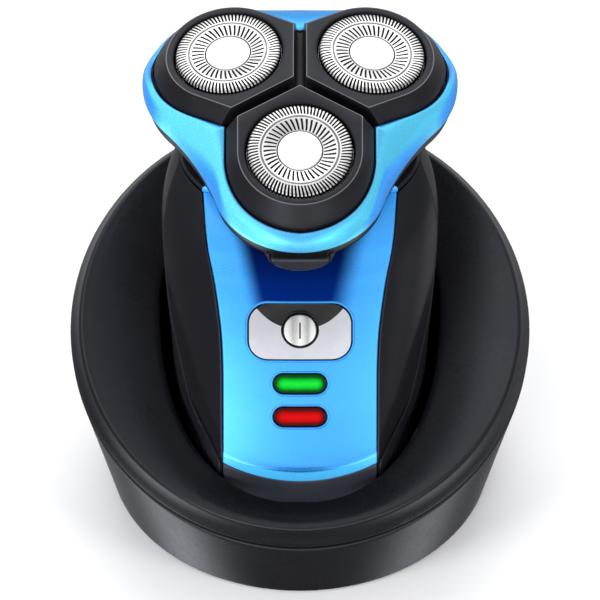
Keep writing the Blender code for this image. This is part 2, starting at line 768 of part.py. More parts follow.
def build_head_plates():
    """Gearbox cover over the gears, and the retainer that holds the units in the skirt."""
    cover = add("gearbox_cover", lobed_plate(14.0, 20.8, -14.1, -13.3), head, "grey")
    retainer = add("cutter_retainer", lobed_plate(15.4, 22.0, -12.1, -11.2), head, "satin")
    cut(retainer, "knob_hole", cylinder(4.0, -16, -8, 20), head)
    for name, bearing in UNIT_BEARINGS.items():
        x, y = at_bearing(UNIT_RHO, radians(bearing))
        cut(cover, f"cover_hole_{name}", cylinder(2.6, -18, -10, 16, x, y), head)
        cut(retainer, f"retainer_hole_{name}", cylinder(9.5, -16, -8, 28, x, y), head)


def build_retainer_knob():
    """Round knob with a bar left standing across its underside."""
    knob = add("retainer_knob", cylinder(3.6, -12.9, -10.3, 20), head, "grey")
    cut(knob, "knob_grip_left", box((-4, -0.7), (-4, 4), (-14, -12.3)), head)
    cut(knob, "knob_grip_right", box((0.7, 4), (-4, 4), (-14, -12.3)), head)


def barrel(x0, x1, radius=2.0):
    """A cylinder along the hinge's axis."""
    bm = cylinder(radius, x0, x1, 16)
    turn = Matrix.Rotation(pi / 2, 3, "Y")
    bmesh.ops.rotate(bm, verts=bm.verts, cent=(0, 0, 0), matrix=turn)
    bmesh.ops.translate(bm, vec=(0, HINGE_Y, HINGE_H), verts=bm.verts)
    return bm


def build_hinge(skirt, head_base):
    """At the back: one knuckle on the skirt between two on the lower shell, round one pin."""
    relief_r = 2.4  # room left round the other part's knuckles
    pin_hole = helper("hinge_hole", barrel(-14, 14, 1.3), head)
    skirt_gusset = box((-3.4, 3.4), (25.9, HINGE_Y), (-12.0, -9.6))
    join(skirt, "skirt_gusset", skirt_gusset, head)
    join(skirt, "skirt_knuckle", barrel(-3.6, 3.6), head)
    boolean(skirt, pin_hole)
    for side, sign in SIDES.items():
        x0, x1 = sorted((sign * 4.1, sign * 8.3))
        gusset = box((x0 + 0.2, x1 - 0.2), (24.6, HINGE_Y), (-14.8, -12.7))
        join(head_base, f"base_gusset_{side}", gusset, head)
        join(head_base, f"base_knuckle_{side}", barrel(x0, x1), head)
        cut(skirt, f"knuckle_relief_{side}", barrel(x0 - 0.4, x1 + 0.4, relief_r), head)
    boolean(head_base, pin_hole)
    cut(head_base, "knuckle_relief_mid", barrel(-4.0, 4.0, relief_r), head)
    add("hinge_pin", barrel(-8.6, 8.6, 1.0), head, "steel")


def half_moon(half_width, depth, y0, y1, top, n=10):
    """A half oval hanging from its straight top edge, drawn out along Y."""
    turns = [pi * k / n for k in range(n + 1)]
    points = [(half_width * cos(turn), top - depth * sin(turn)) for turn in turns]
    return loft([[(x, y, z) for x, z in points] for y in (y0, y1)])


def build_release_button(head_base):
    """A half-moon tab in a notch at the front of the lower shell."""
    cut(head_base, "button_notch", half_moon(6.4, 5.4, -42, -33.0, -13.3), head)
    add("release_button", half_moon(6.0, 4.9, -37.8, -34.2, -13.7), head, "gloss")


# ---------------------------------------------------------------- cutting units
WEDGE = UNIT_RHO * sin(SIXTH) - GROOVE  # unit centre to each face of its inner point
FOIL = [
    (0, 0.45), (5.2, 0.4), (11.4, 0.3), (12.0, -0.4), (12.0, -3.2),
    (11.6, -3.2), (11.6, -0.5), (11.2, 0.0), (0, 0.0),
]
BLADE_COUNT = 8
BLADE = ((-0.3, 5.0), (-0.2, 10.8), (0.12, 10.8), (0.2, 5.0))  # offset in pitches, radius


def unit_outline(width, front, n_arc=8, n_side=2, n_wedge=4):
    """U shape with a 120 degree point towards the head's axis, from the front tip by +X."""
    corner = -(0.5 * width - WEDGE) / sin(SIXTH)
    tip = WEDGE / sin(SIXTH)
    half = [(width * sin(a), -front * cos(a)) for a in np.linspace(0, pi / 2, n_arc)]
    half += [(width, corner * k / n_side) for k in range(1, n_side + 1)]
    for k in range(1, n_wedge + 1):
        half.append((width * (1 - k / n_wedge), corner + (tip - corner) * k / n_wedge))
    return mirrored(half)


def bevel_height(x, y):
    """Lower edge of the bevel, deepest at the front."""
    return -(3.5 + 1.5 * max(0.0, -y / hypot(x, y)))


def cutter_housing():
    flat = unit_outline(FLAT_W, FLAT_W)
    bevel = unit_outline(BEVEL_W, BEVEL_FRONT)
    return ring_solid(
        [
            onto_circle(flat, HOLE_R, 0.0),
            level(flat, 0.0),
            [(x, y, bevel_height(x, y)) for x, y in bevel],
            level(bevel, -UNIT_DEPTH),
            onto_circle(bevel, HOLE_R, -UNIT_DEPTH),
        ]
    )


def inner_cutter():
    """A wheel of blades on a hollow hub that the spindle enters."""
    blades = toothed(BLADE_COUNT, BLADE)
    hub_r, bore_r = 2.6, 1.95
    return loft(
        [
            level(blades, -0.5),
            level(blades, -1.6),
            onto_circle(blades, hub_r, -1.6),
            onto_circle(blades, hub_r, -6.0),
            onto_circle(blades, bore_r, -6.0),
            onto_circle(blades, bore_r, -2.6),
        ]
    )


def build_units():
    for name, bearing in UNIT_BEARINGS.items():
        origin = (*at_bearing(UNIT_RHO, radians(bearing)), 0)
        unit = empty(f"unit_{name}", origin, rx=UNIT_TILT, rz=bearing, parent=head)
        add(f"cutter_housing_{name}", cutter_housing(), unit, "satin", 25)
        turned(f"foil_{name}", FOIL, unit, "steel")
        add(f"inner_cutter_{name}", inner_cutter(), unit, "steel")


# ---------------------------------------------------------------- dock casing
FLOOR = 1.2
DOCK_SCREWS = [at_bearing(38.6, radians(bearing)) for bearing in (60, 152, 300)]
DOCK_SCREW = [
    (0, 9.3), (1.0, 8.9), (1.0, 1.2), (2.0, 1.2), (2.2, 0.7), (2.0, 0.4), (0, 0.4),
]


def dock_circle(radius, z):
    return [(*at_bearing(radius, a), z) for a in bearings(44)]


def well_ring(z, grow=0.0):
    """The well's oval in the slanted frame, longer in front of its widest line than behind."""

    def rounded(value):
        return copysign(abs(value) ** (2 / WELL_POWER), value)

    ring = []
    for angle in bearings(44):
        length = WELL_FRONT if cos(angle) > 0 else WELL_BACK
        forward = WELL_P0 + (length + grow) * rounded(cos(angle))
        ring.append(((WELL_HALF + grow) * rounded(sin(angle)), -forward, z))
    return ring


def build_top_cover():
    """Slanted dish with a skirt outside and a lipped well in the middle."""
    rim = dock_circle(DISC_RIM_R - 0.5, 0.0)
    edge = well_ring(-DISH_DEPTH)

    def between(share, z):
        return [
            (a[0] + (b[0] - a[0]) * share, a[1] + (b[1] - a[1]) * share, z)
            for a, b in zip(rim, edge)
        ]

    rings = [
        dock_circle(DISC_R, -DISC_RIM_H),
        dock_circle(DISC_RIM_R + 0.5, -1.2),
        dock_circle(DISC_RIM_R, -0.3),
        rim,
        between(0.75, -1.9),
        edge,
        well_ring(-DISH_DEPTH - LIP_H, LIP_SPREAD),
        well_ring(-DISH_DEPTH - LIP_H, 1.8),
        between(0.6, -4.0),
        dock_circle(DISC_RIM_R - 1.6, -3.0),
        dock_circle(DISC_R - 2.0, -DISC_RIM_H),
    ]
    add("dock_top_cover", ring_solid(rings), disc, "satin")


def slanted_circle(radius, height):
    """A circle of the slanted cover's frame, in the dock's own frame."""
    c, s = cos(radians(DISC_TILT)), sin(radians(DISC_TILT))
    return [
        (x, DISC_ORIGIN[1] + c * y - s * z, DISC_ORIGIN[2] + s * y + c * z)
        for x, y, z in dock_circle(radius, height)
    ]


def build_base_shell():
    """Drum wall from the foot circle up to the slanted cover, with three screw bosses."""
    seam = -DISC_RIM_H - 0.4
    rings = [
        dock_circle(BASE_R, FLOOR + 0.6),
        slanted_circle(DISC_R - 0.5, seam),
        slanted_circle(DISC_R - 2.5, seam),
        dock_circle(BASE_R - 2.0, FLOOR + 0.3),
        dock_circle(BASE_R - 2.0, FLOOR),
        dock_circle(BASE_R - 0.6, FLOOR),
    ]
    base = add("dock_base_shell", ring_solid(rings), None, "satin")
    for i, (x, y) in enumerate(DOCK_SCREWS, 1):
        join(base, f"boss_{i}", cylinder(3.0, 4.4, 11.0, 16, x, y), None)
        cut(base, f"boss_bore_{i}", cylinder(1.3, 2.0, 10.0, 12, x, y), None)
    return base


def build_bottom_plate():
    plate = add("dock_bottom_plate", cylinder(BASE_R - 2.4, 1.5, 3.3, 48), None, "satin")
    for i, (x, y) in enumerate(DOCK_SCREWS, 1):
        cut(plate, f"plate_hole_{i}", cylinder(1.35, 0.0, 5.0, 12, x, y), None)
        turned(f"dock_screw_{i}", DOCK_SCREW, None, "steel", 16, loc=(x, y, 0))


def build_dock_feet():
    for i, bearing in enumerate((45, 135, 225, 315), 1):
        x, y = at_bearing(31, radians(bearing))
        add(f"dock_foot_{i}", cylinder(5.0, 0.0, FLOOR, 20, x, y), None, "rubber")


def build_power_inlet(base):
    """Low at the back; the frame's Z points out of the dock."""
    inlet = empty("inlet_frame", (0, 44.0, 10.0), rx=-90)
    body = prism(rounded_rect(9.4, 9.0, 1.0, 2), -14.0, -3.6)
    jack = add("dock_power_jack", body, inlet, "satin")
    cut(jack, "jack_bore", cylinder(2.9, -11.5, 2.0, 20), inlet)
    cut(base, "inlet_hole", cylinder(3.4, -8.0, 6.0), inlet)


def build_dock_inside():
    add("dock_ballast", box((-26, 26), (12, 28), (3.8, 12.5), 0.6), None, "steel")
    add("dock_circuit_board", box((-13, 13), (31.0, 32.6), (20, 38)), None, "board")


# ---------------------------------------------------------------- dock cradle
CUP_FLOOR = 3.3
CUP_FLOOR_THICK = 1.5
CUP_WALL = 1.4
CUP_CLEARANCE = 1.6  # between handle and cup at the floor
CUP_TOP_H = -DISH_DEPTH - 2.6  # plane of the cup's top edge, in the slanted frame
CUP_LEVELS = (1.0, 0.66, 0.36, 0.14, 0.0)
CUP_TURN = radians(DISC_TILT + LEAN)  # angle between the shaver's axis and the cover's
CONTACT_PIN = [
    (0, 4.4), (0.6, 4.2), (0.9, 3.8), (0.9, 1.6), (1.5, 1.6), (1.5, 0.6), (0, 0.6),
]


def meet_cup_top(forward):
    """Where a line along the shaver's axis, this far forward of it, meets the cup's top plane.

    Returns the position forward along the slope and the height in the shaver's frame.
    """
    c, s = cos(radians(DISC_TILT)), sin(radians(DISC_TILT))
    dy, dz = SHAVER_ORIGIN[1] - DISC_ORIGIN[1], SHAVER_ORIGIN[2] - DISC_ORIGIN[2]
    origin_forward, origin_h = -c * dy - s * dz, -s * dy + c * dz
    z = (CUP_TOP_H - origin_h - sin(CUP_TURN) * forward) / cos(CUP_TURN)
    return origin_forward + cos(CUP_TURN) * forward - sin(CUP_TURN) * z, z


def inside_well(x, slope_forward):
    length = WELL_FRONT if slope_forward > WELL_P0 else WELL_BACK
    across = abs(x) / (WELL_HALF + LIP_SPREAD)
    along = abs(slope_forward - WELL_P0) / (length + LIP_SPREAD)
    return across**WELL_POWER + along**WELL_POWER < 1


def well_edge_radius(angle):
    """Distance from the shaver's axis to the well's edge, found by halving."""
    low, high = 5.0, 60.0
    for _ in range(40):
        middle = (low + high) / 2
        slope_forward, _z = meet_cup_top(middle * cos(angle))
        if inside_well(middle * sin(angle), slope_forward):
            low = middle
        else:
            high = middle
    return low


def cup_point(angle, share, wall, bottom):
    """A point of the cup, share running from 0 at the floor to 1 at the well's edge."""

    def near_handle(z):
        station = min(max(z, CASING_FOOT), CASING_TOP)
        return reach(casing_outline(station), angle) + CUP_CLEARANCE

    edge_r = well_edge_radius(angle)
    _, top = meet_cup_top((edge_r + wall) * cos(angle))
    top = max(top, bottom + 3.0)
    z = bottom + (top - bottom) * share
    r = near_handle(z) + (edge_r - near_handle(top)) * share * share + wall
    return (*at_bearing(r, angle), z)


def cup_ring(share, wall=0.0, bottom=CUP_FLOOR):
    return [cup_point(angle, share, wall, bottom) for angle in bearings(32)]


def build_cradle():
    """Cup that follows the handle with a gap opening towards the well, and its contact pins."""
    outer = [cup_ring(0.0, CUP_WALL, CUP_FLOOR - CUP_FLOOR_THICK)]
    outer += [cup_ring(share, CUP_WALL) for share in reversed(CUP_LEVELS[:-1])]
    inner = [cup_ring(share) for share in CUP_LEVELS]
    cup = add("dock_cradle_cup", loft(outer + inner), shaver, "gloss")
    for side, sign in SIDES.items():
        x, y = sign * CONTACT_X, CONTACT_Y
        cut(cup, f"pin_hole_{side}", cylinder(1.3, 0.0, 4.5, 12, x, y), shaver)
        turned(f"dock_contact_pin_{side}", CONTACT_PIN, shaver, "brass", 12, loc=(x, y, 0))


# ---------------------------------------------------------------- assembly
def build_handle():
    front_panel = build_front_panel()
    build_chin_panel()
    build_side_panels()
    build_rear_shell()
    build_bottom_cap()
    build_neck_collar()
    build_power_button(front_panel)
    build_led_lenses(front_panel)
    build_chassis()
    build_power()


def build_head():
    build_pinion()
    build_gears()
    skirt = build_skirt()
    head_base = build_head_base()
    build_head_plates()
    build_retainer_knob()
    build_hinge(skirt, head_base)
    build_release_button(head_base)
    build_units()


def build_dock():
    build_top_cover()
    base = build_base_shell()
    build_bottom_plate()
    build_dock_feet()
    build_power_inlet(base)
    build_dock_inside()
    build_cradle()


build_handle()
build_head()
build_dock()

# everything was built round the foot circle's centre: bring the whole object's middle to Y = 0
for ob in bpy.data.objects:
    if ob.parent is None:
        ob.location.y -= FOOT_TO_MIDDLE * MM
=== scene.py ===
"""Looks of the rotary shaver in its charging dock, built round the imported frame.

Surfaces are written in millimetres in the frames of their own pieces and set down in the row frame.
"""

import math

import bmesh
import bpy
import numpy as np
from mathutils import Matrix, Vector


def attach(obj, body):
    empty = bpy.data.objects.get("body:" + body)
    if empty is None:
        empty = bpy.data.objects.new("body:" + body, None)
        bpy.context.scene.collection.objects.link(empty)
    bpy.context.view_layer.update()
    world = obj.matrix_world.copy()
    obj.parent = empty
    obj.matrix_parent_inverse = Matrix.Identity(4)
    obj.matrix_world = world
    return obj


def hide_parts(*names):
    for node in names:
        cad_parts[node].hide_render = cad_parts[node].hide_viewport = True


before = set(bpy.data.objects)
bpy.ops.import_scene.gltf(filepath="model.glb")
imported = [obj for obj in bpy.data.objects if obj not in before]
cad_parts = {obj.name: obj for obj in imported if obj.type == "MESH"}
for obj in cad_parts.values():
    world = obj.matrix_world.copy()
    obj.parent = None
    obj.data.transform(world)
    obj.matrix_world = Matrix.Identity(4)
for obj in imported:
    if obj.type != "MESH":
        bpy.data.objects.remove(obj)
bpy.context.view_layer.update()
MM = 0.001
pi = math.pi

# ----------------------------------------------------------------------------- dimensions shared with the CAD
BASE_R, DISC_R, DISC_RIM_R, DISC_RIM_H = 42.7, 51.7, 49.4, 7.2
DISC_TILT, DISC_ORIGIN = 25.6, (0.0, -1.6, 45.4)
DISH_DEPTH = 3.0
WELL_P0, WELL_HALF, WELL_FRONT, WELL_BACK = -4.9, 31.5, 46.9, 27.6
LEAN, SHAVER_ORIGIN = 20.0, (0.0, -19.06, 6.36)
HEAD_TILT, HEAD_T, HEAD_Z = 26.7, 10.0, 106.8
RHO, UNIT_TILT = 18.6, 8.0
UNIT_AZ = {"front": 0.0, "right": 120.0, "left": -120.0}
HOLE_R, FLAT_W, BEVEL_W, BEVEL_F, UNIT_DEPTH, GROOVE = 12.30, 13.95, 16.5, 17.45, 6.6, 1.3
SKIRT_R, SKIRT_WAIST, SKIRT_H, SEAM_H = 19.8, 27.3, -11.0, -12.0
HINGE_G, HINGE_H = -29.2, -13.3
GEAR_RHO = 1.08 * 33 / 2
TRIM_ZC, LED_GREEN_Z, LED_RED_Z = 54.7, 38.8, 30.6
SHELL = 1.8


def T(x, y, z):
    return Matrix.Translation(Vector((x, y, z)))


def R(deg, axis):
    return Matrix.Rotation(math.radians(deg), 4, axis)


I4 = Matrix.Identity(4)
W = T(0, -1.03, 0)
S = W @ T(*SHAVER_ORIGIN) @ R(-LEAN, "X")
H = S @ T(0, -HEAD_T, HEAD_Z) @ R(HEAD_TILT, "X")
D = W @ T(*DISC_ORIGIN) @ R(DISC_TILT, "X")


def unit_frame(az):
    a = math.radians(az)
    return H @ T(RHO * math.sin(a), -RHO * math.cos(a), 0) @ R(az, "Z") @ R(UNIT_TILT, "X")


def to_np(m):
    return np.array(m, float)


# ----------------------------------------------------------------------------- materials
def socket(v):
    return hasattr(v, "links") and hasattr(v, "node")


class Nodes:
    """A small hand for writing node trees: every call returns an output socket."""

    def __init__(self, name):
        self.mat = bpy.data.materials.new(name)
        self.mat.use_nodes = True
        self.t = self.mat.node_tree
        self.p = self.t.nodes["Principled BSDF"]
        self.coord = self.t.nodes.new("ShaderNodeTexCoord").outputs["Object"]
        self.bump_out = None

    def put(self, node, key, value):
        s = node.inputs[key]
        if socket(value):
            self.t.links.new(value, s)
        else:
            s.default_value = value

    def loc(self):
        n = self.t.nodes.new("ShaderNodeAttribute")
        n.attribute_name = "loc"
        return n.outputs["Vector"]

    def xyz(self, v):
        n = self.t.nodes.new("ShaderNodeSeparateXYZ")
        self.put(n, 0, v)
        return n.outputs[0], n.outputs[1], n.outputs[2]

    def vec(self, x=0.0, y=0.0, z=0.0):
        n = self.t.nodes.new("ShaderNodeCombineXYZ")
        for i, v in enumerate((x, y, z)):
            self.put(n, i, v)
        return n.outputs[0]

    def math(self, op, a, b=0.0, c=0.0):
        n = self.t.nodes.new("ShaderNodeMath")
        n.operation = op
        self.put(n, 0, a)
        self.put(n, 1, b)
        if op in ("MULTIPLY_ADD", "SMOOTH_MIN", "SMOOTH_MAX", "WRAP"):
            self.put(n, 2, c)
        return n.outputs[0]

    def scale(self, v, s):
        n = self.t.nodes.new("ShaderNodeVectorMath")
        n.operation = "MULTIPLY"
        self.put(n, 0, v)
        n.inputs[1].default_value = s
        return n.outputs[0]

    def noise(self, scale, detail=2.0, rough=0.5, v=None, distortion=0.0):
        n = self.t.nodes.new("ShaderNodeTexNoise")
        self.put(n, "Vector", v if v is not None else self.coord)
        n.inputs["Scale"].default_value = scale
        n.inputs["Detail"].default_value = detail
        n.inputs["Roughness"].default_value = rough
        n.inputs["Distortion"].default_value = distortion
        return n.outputs["Fac"]

    def voronoi(self, scale, v=None, out="Color", feature="F1"):
        n = self.t.nodes.new("ShaderNodeTexVoronoi")
        n.feature = feature
        self.put(n, "Vector", v if v is not None else self.coord)
        n.inputs["Scale"].default_value = scale
        return n.outputs[out]

    def remap(self, v, a, b, c, d, smooth=False):
        n = self.t.nodes.new("ShaderNodeMapRange")
        n.interpolation_type = "SMOOTHSTEP" if smooth else "LINEAR"
        self.put(n, 0, v)
        for i, x in enumerate((a, b, c, d), 1):
            n.inputs[i].default_value = x
        return n.outputs[0]

    def mix(self, fac, a, b):
        n = self.t.nodes.new("ShaderNodeMix")
        n.data_type = "RGBA"
        self.put(n, 0, fac)
        for key, v in ((6, a), (7, b)):
            if not socket(v) and len(v) == 3:
                v = (*v, 1.0)
            self.put(n, key, v)
        return n.outputs[2]

    def facing(self, blend=0.5):
        n = self.t.nodes.new("ShaderNodeLayerWeight")
        n.inputs["Blend"].default_value = blend
        return n.outputs["Facing"]

    def ao(self, distance=0.004, samples=6):
        n = self.t.nodes.new("ShaderNodeAmbientOcclusion")
        n.samples = samples
        n.inputs["Distance"].default_value = distance
        return n.outputs["AO"]

    def pointiness(self):
        return self.t.nodes.new("ShaderNodeNewGeometry").outputs["Pointiness"]

    def bump(self, height, strength=0.2, distance=0.0001):
        n = self.t.nodes.new("ShaderNodeBump")
        n.inputs["Strength"].default_value = strength
        n.inputs["Distance"].default_value = distance
        self.put(n, "Height", height)
        if self.bump_out is not None:
            self.t.links.new(self.bump_out, n.inputs["Normal"])
        self.bump_out = n.outputs[0]
        return self.bump_out

    def set(self, **kw):
        names = {
            "color": "Base Color",
            "rough": "Roughness",
            "metal": "Metallic",
            "coat": "Coat Weight",
            "coat_rough": "Coat Roughness",
            "spec": "Specular IOR Level",
            "aniso": "Anisotropic",
            "aniso_rot": "Anisotropic Rotation",
            "emit": "Emission Color",
            "emit_strength": "Emission Strength",
            "sheen": "Sheen Weight",
            "sheen_rough": "Sheen Roughness",
            "tangent": "Tangent",
            "ior": "IOR",
            "transmission": "Transmission Weight",
            "sss": "Subsurface Weight",
        }
        for k, v in kw.items():
            if k in ("color", "emit") and not socket(v) and len(v) == 3:
                v = (*v, 1.0)
            self.put(self.p, names[k], v)
        if self.bump_out is not None:
            self.t.links.new(self.bump_out, self.p.inputs["Normal"])
        return self.mat


def plastic(name, rgb, rough, coat=0.0, grain=9000, grain_h=0.00002, variation=0.12, coat_rough=0.06, spec=0.5, dust=0.0):
    """Moulded plastic: spark-eroded micro grain, slow tone drift, lighter on convex edges."""
    n = Nodes(name)
    fine = n.noise(grain, 3, 0.6)
    slow = n.noise(55, 3, 0.55)
    streak = n.noise(700, 2, 0.5)
    c = n.mix(n.remap(slow, 0.35, 0.65, 0, 1, True), [v * (1 - variation) for v in rgb], [v * (1 + variation) for v in rgb])
    edge = n.remap(n.pointiness(), 0.52, 0.6, 0, 1, True)
    c = n.mix(n.math("MULTIPLY", edge, 0.5), c, [min(v * 2.2 + 0.012, 1) for v in rgb])
    if dust:
        speck = n.remap(n.noise(2600, 1, 0.4), 0.72, 0.8, 0, dust)
        c = n.mix(speck, c, (0.35, 0.35, 0.36))
    r = n.math("ADD", n.remap(slow, 0.3, 0.7, rough - 0.035, rough + 0.035), n.remap(streak, 0.3, 0.7, -0.02, 0.02))
    n.bump(fine, 0.35, grain_h)
    return n.set(color=c, rough=r, coat=coat, coat_rough=coat_rough, spec=spec)


def make_blue(name="blue_pearl", metal=0.86, face=(0.042, 0.39, 1.0), edge=(0.03, 0.33, 0.98), panel=False, painted_light=False, shadow=True):
    """Pearl metallic lacquer: fine flakes under a clear coat, with painted shade turning it deep blue where the light
    can't reach.

    panel: painted shadow of the head, navy on the middle of the panel between the trim and the head, softer at both
    ends; the lower facet gets a painted highlight.
    painted_light: painted light on the skirt from the world normal, cyan on faces turned front-left, lighter blue on
    front-right, azure on the far sides and on faces turned away.
    """
    n = Nodes(name)
    fx, fy, fz = n.xyz(n.voronoi(16000))
    cloud = n.noise(60, 3, 0.5)
    base = n.mix(n.remap(n.facing(0.3), 0.0, 0.8, 0, 1, True), face, edge)
    if painted_light:
        # painted light: the colour is picked by the world normal, as if a lamp lit the skirt from the front, strongest
        # at the left
        geo = n.t.nodes.new("ShaderNodeNewGeometry")
        nx, ny, nz = n.xyz(geo.outputs["Normal"])
        turn = n.math("ADD", nx, n.remap(n.noise(34, 2, 0.5), 0.3, 0.7, -0.05, 0.05))
        azure, cyan = (0.034, 0.34, 0.98), (0.15, 0.80, 1.0)
        side = n.mix(n.remap(turn, -0.90, -0.73, 0, 1, True), azure, cyan)
        side = n.mix(n.remap(turn, -0.42, -0.02, 0, 1, True), side, (0.085, 0.45, 0.80))
        side = n.mix(n.remap(turn, 0.02, 0.34, 0, 1, True), side, (0.10, 0.62, 0.88))
        side = n.mix(n.remap(turn, 0.72, 0.86, 0, 1, True), side, azure)
        base = n.mix(n.remap(ny, -0.30, 0.25, 0, 1, True), side, (0.034, 0.37, 0.92))
    base = n.mix(n.remap(fx, 0.0, 1.0, 0.0, 0.10), base, (0.10, 0.52, 1.0))
    base = n.mix(n.remap(cloud, 0.35, 0.65, 0.0, 0.06, True), base, (0.01, 0.25, 0.9))
    # painted shade: ambient occlusion darkens the colour to deep blue in hollows and under the head
    if shadow:
        base = n.mix(n.remap(n.ao(0.011, 8), 0.22, 0.62, 0.0, 1.0, True), BLUE_PAINTED_SHADE, base)
    coat, spec = 0.6, 0.5
    if painted_light:
        coat, spec = 0.32, 0.25
    if panel:
        # painted shadow of the head: navy on the panel under the head, with coat and specular turned down there
        x, y, z = n.xyz(n.loc())
        half = n.math("MULTIPLY_ADD", n.math("SUBTRACT", z, 57.6), 0.23, 10.2)
        d = n.math("SUBTRACT", n.math("ABSOLUTE", n.math("ADD", x, 0.2)), half)
        soft = n.remap(x, -4.0, 4.0, 0.75, 1.0)
        m = n.remap(n.math("DIVIDE", d, soft), -3.6, 2.9, 1.0, 0.0, True)
        m = n.math("MULTIPLY", m, n.remap(z, 55.6, 57.0, 0.0, 1.0, True))
        deep = n.mix(n.remap(z, 57.0, 68.0, 0.0, 1.0), (0.0010, 0.022, 0.20), (0.0008, 0.010, 0.10))
        base = n.mix(m, base, deep)
        coat = n.math("MULTIPLY_ADD", m, -0.6, 0.6)
        spec = n.math("MULTIPLY_ADD", m, -0.45, 0.45)
        # painted highlight: the lower facet is painted a lighter blue and made less metallic; the upper panel outside
        # the painted shadow is less metallic too
        low = n.math("SUBTRACT", n.math("SUBTRACT", z, 13.5), n.math("MULTIPLY", n.math("MULTIPLY", x, x), 0.01567))
        facet = n.remap(low, 2.6, 3.4, 1.0, 0.0, True)
        high = n.remap(z, 60.0, 74.0, 0.0, 1.0, True)
        base = n.mix(n.math("MULTIPLY", facet, 0.6), base, (0.10, 0.62, 1.0))
        ends = n.math("MAXIMUM", facet, n.math("MULTIPLY", high, n.math("SUBTRACT", 1.0, m)))
        metal = n.math("MULTIPLY_ADD", ends, -0.52, metal)
    rough = n.math("ADD", n.remap(fy, 0, 1, -0.03, 0.03), BLUE_ROUGH)
    n.bump(n.noise(1400, 2, 0.5), 0.03, 0.00001)
    return n.set(color=base, rough=rough, metal=metal, coat=coat, coat_rough=0.06, spec=spec)


# colour of the painted shade in the blue lacquer
BLUE_PAINTED_SHADE = (0.006, 0.060, 0.42)
BLUE_ROUGH = 0.26


def make_gloss(name="gloss_black", rgb=(0.0052, 0.0052, 0.0072), rough=0.20):
    n = Nodes(name)
    slow = n.noise(70, 3, 0.5)
    hair = n.noise(900, 3, 0.6, n.scale(n.coord, (1.0, 1.0, 0.08)))
    smudge = n.remap(n.noise(150, 4, 0.62), 0.52, 0.68, 0, 1, True)
    c = n.mix(slow, [v * 0.8 for v in rgb], [v * 1.3 for v in rgb])
    r = n.math("ADD", n.remap(hair, 0.4, 0.6, rough - 0.02, rough + 0.03), n.math("MULTIPLY", smudge, 0.05))
    n.bump(n.noise(600, 2, 0.5), 0.06, 0.00002)
    return n.set(color=c, rough=r, coat=0.22, coat_rough=0.07, spec=0.36)


def make_chrome():
    n = Nodes("mirror_chrome")
    hair = n.noise(3000, 3, 0.6, n.scale(n.coord, (0.15, 1, 1)))
    r = n.remap(hair, 0.35, 0.65, 0.045, 0.10)
    cloud = n.noise(260, 3, 0.55)
    c = n.mix(cloud, (0.60, 0.61, 0.66), (0.70, 0.705, 0.75))
    n.bump(n.noise(420, 2, 0.5), 0.03, 0.00002)
    return n.set(color=c, rough=r, metal=1.0)


def make_painted_reflection_chrome():
    # painted reflection: dark chrome standing in for the dark surroundings the chrome scoop mirrors
    n = Nodes("chrome_painted_dark_reflection")
    cloud = n.noise(300, 3, 0.55)
    c = n.mix(cloud, (0.020, 0.020, 0.021), (0.044, 0.043, 0.042))
    n.bump(n.noise(900, 2, 0.5), 0.05, 0.00002)
    return n.set(color=c, rough=n.remap(cloud, 0.3, 0.7, 0.17, 0.25), metal=0.75, coat=0.35, coat_rough=0.05)


def make_button():
    """Lathe-cut cap with a vertical brush; the light and dark bands running up the face are painted reflections."""
    n = Nodes("brushed_cap_painted_bands")
    x, y, z = n.xyz(n.loc())
    # painted reflection: light and dark bands across the face, set by a ramp over x
    band = n.t.nodes.new("ShaderNodeValToRGB")
    ramp = band.color_ramp
    stops = [(0.0, 0.30), (0.06, 0.86), (0.17, 0.78), (0.29, 0.40), (0.42, 0.60), (0.5, 0.92), (0.60, 0.66), (0.73, 0.36), (0.86, 0.88), (0.94, 0.80), (1.0, 0.35)]
    ramp.elements[0].position, ramp.elements[1].position = stops[0][0], stops[-1][0]
    ramp.elements[0].color = (stops[0][1],) * 3 + (1,)
    ramp.elements[1].color = (stops[-1][1],) * 3 + (1,)
    for p, v in stops[1:-1]:
        e = ramp.elements.new(p)
        e.color = (v, v, v * 0.985, 1)
    wob = n.noise(0.5, 2, 0.5, n.vec(x, n.math("MULTIPLY", y, 0.05), 0.0))
    n.put(band, 0, n.math("ADD", n.remap(x, -3.8, 3.8, 0, 1), n.remap(wob, 0.3, 0.7, -0.02, 0.02)))
    lines = n.noise(14.0, 3, 0.7, n.vec(x, n.math("MULTIPLY", y, 0.04), 0.0))
    c = n.mix(n.remap(lines, 0.35, 0.65, 0.0, 0.35), band.outputs[0], (0.95, 0.95, 0.94, 1))
    n.bump(lines, 0.35, 0.00003)
    return n.set(color=c, rough=n.remap(lines, 0.3, 0.7, 0.22, 0.36), metal=1.0, aniso=0.55)


def make_foil():
    """Ground steel: circular lathe marks, with painted shade darkening the groove."""
    n = Nodes("ground_steel")
    x, y, z = n.xyz(n.loc())
    r = n.math("SQRT", n.math("ADD", n.math("MULTIPLY", x, x), n.math("MULTIPLY", y, y)))
    turn = n.noise(26.0, 3, 0.65, n.vec(r, 0.0, 0.0))
    grime = n.remap(n.noise(500, 3, 0.6), 0.45, 0.7, 0, 1, True)
    c = n.mix(turn, (0.82, 0.81, 0.79), (0.97, 0.97, 0.96))
    c = n.mix(n.math("MULTIPLY", grime, 0.10), c, (0.55, 0.53, 0.5))
    # painted shade: darker in the groove of the middle land
    groove = n.math("SUBTRACT", 1.0, n.remap(n.math("ABSOLUTE", n.math("SUBTRACT", r, 8.76)), 0.10, 0.30, 0, 1, True))
    c = n.mix(n.math("MULTIPLY", groove, 0.62), c, (0.20, 0.20, 0.20))
    n.bump(turn, 0.12, 0.00002)
    return n.set(color=c, rough=n.remap(turn, 0.3, 0.7, 0.20, 0.32), metal=1.0)


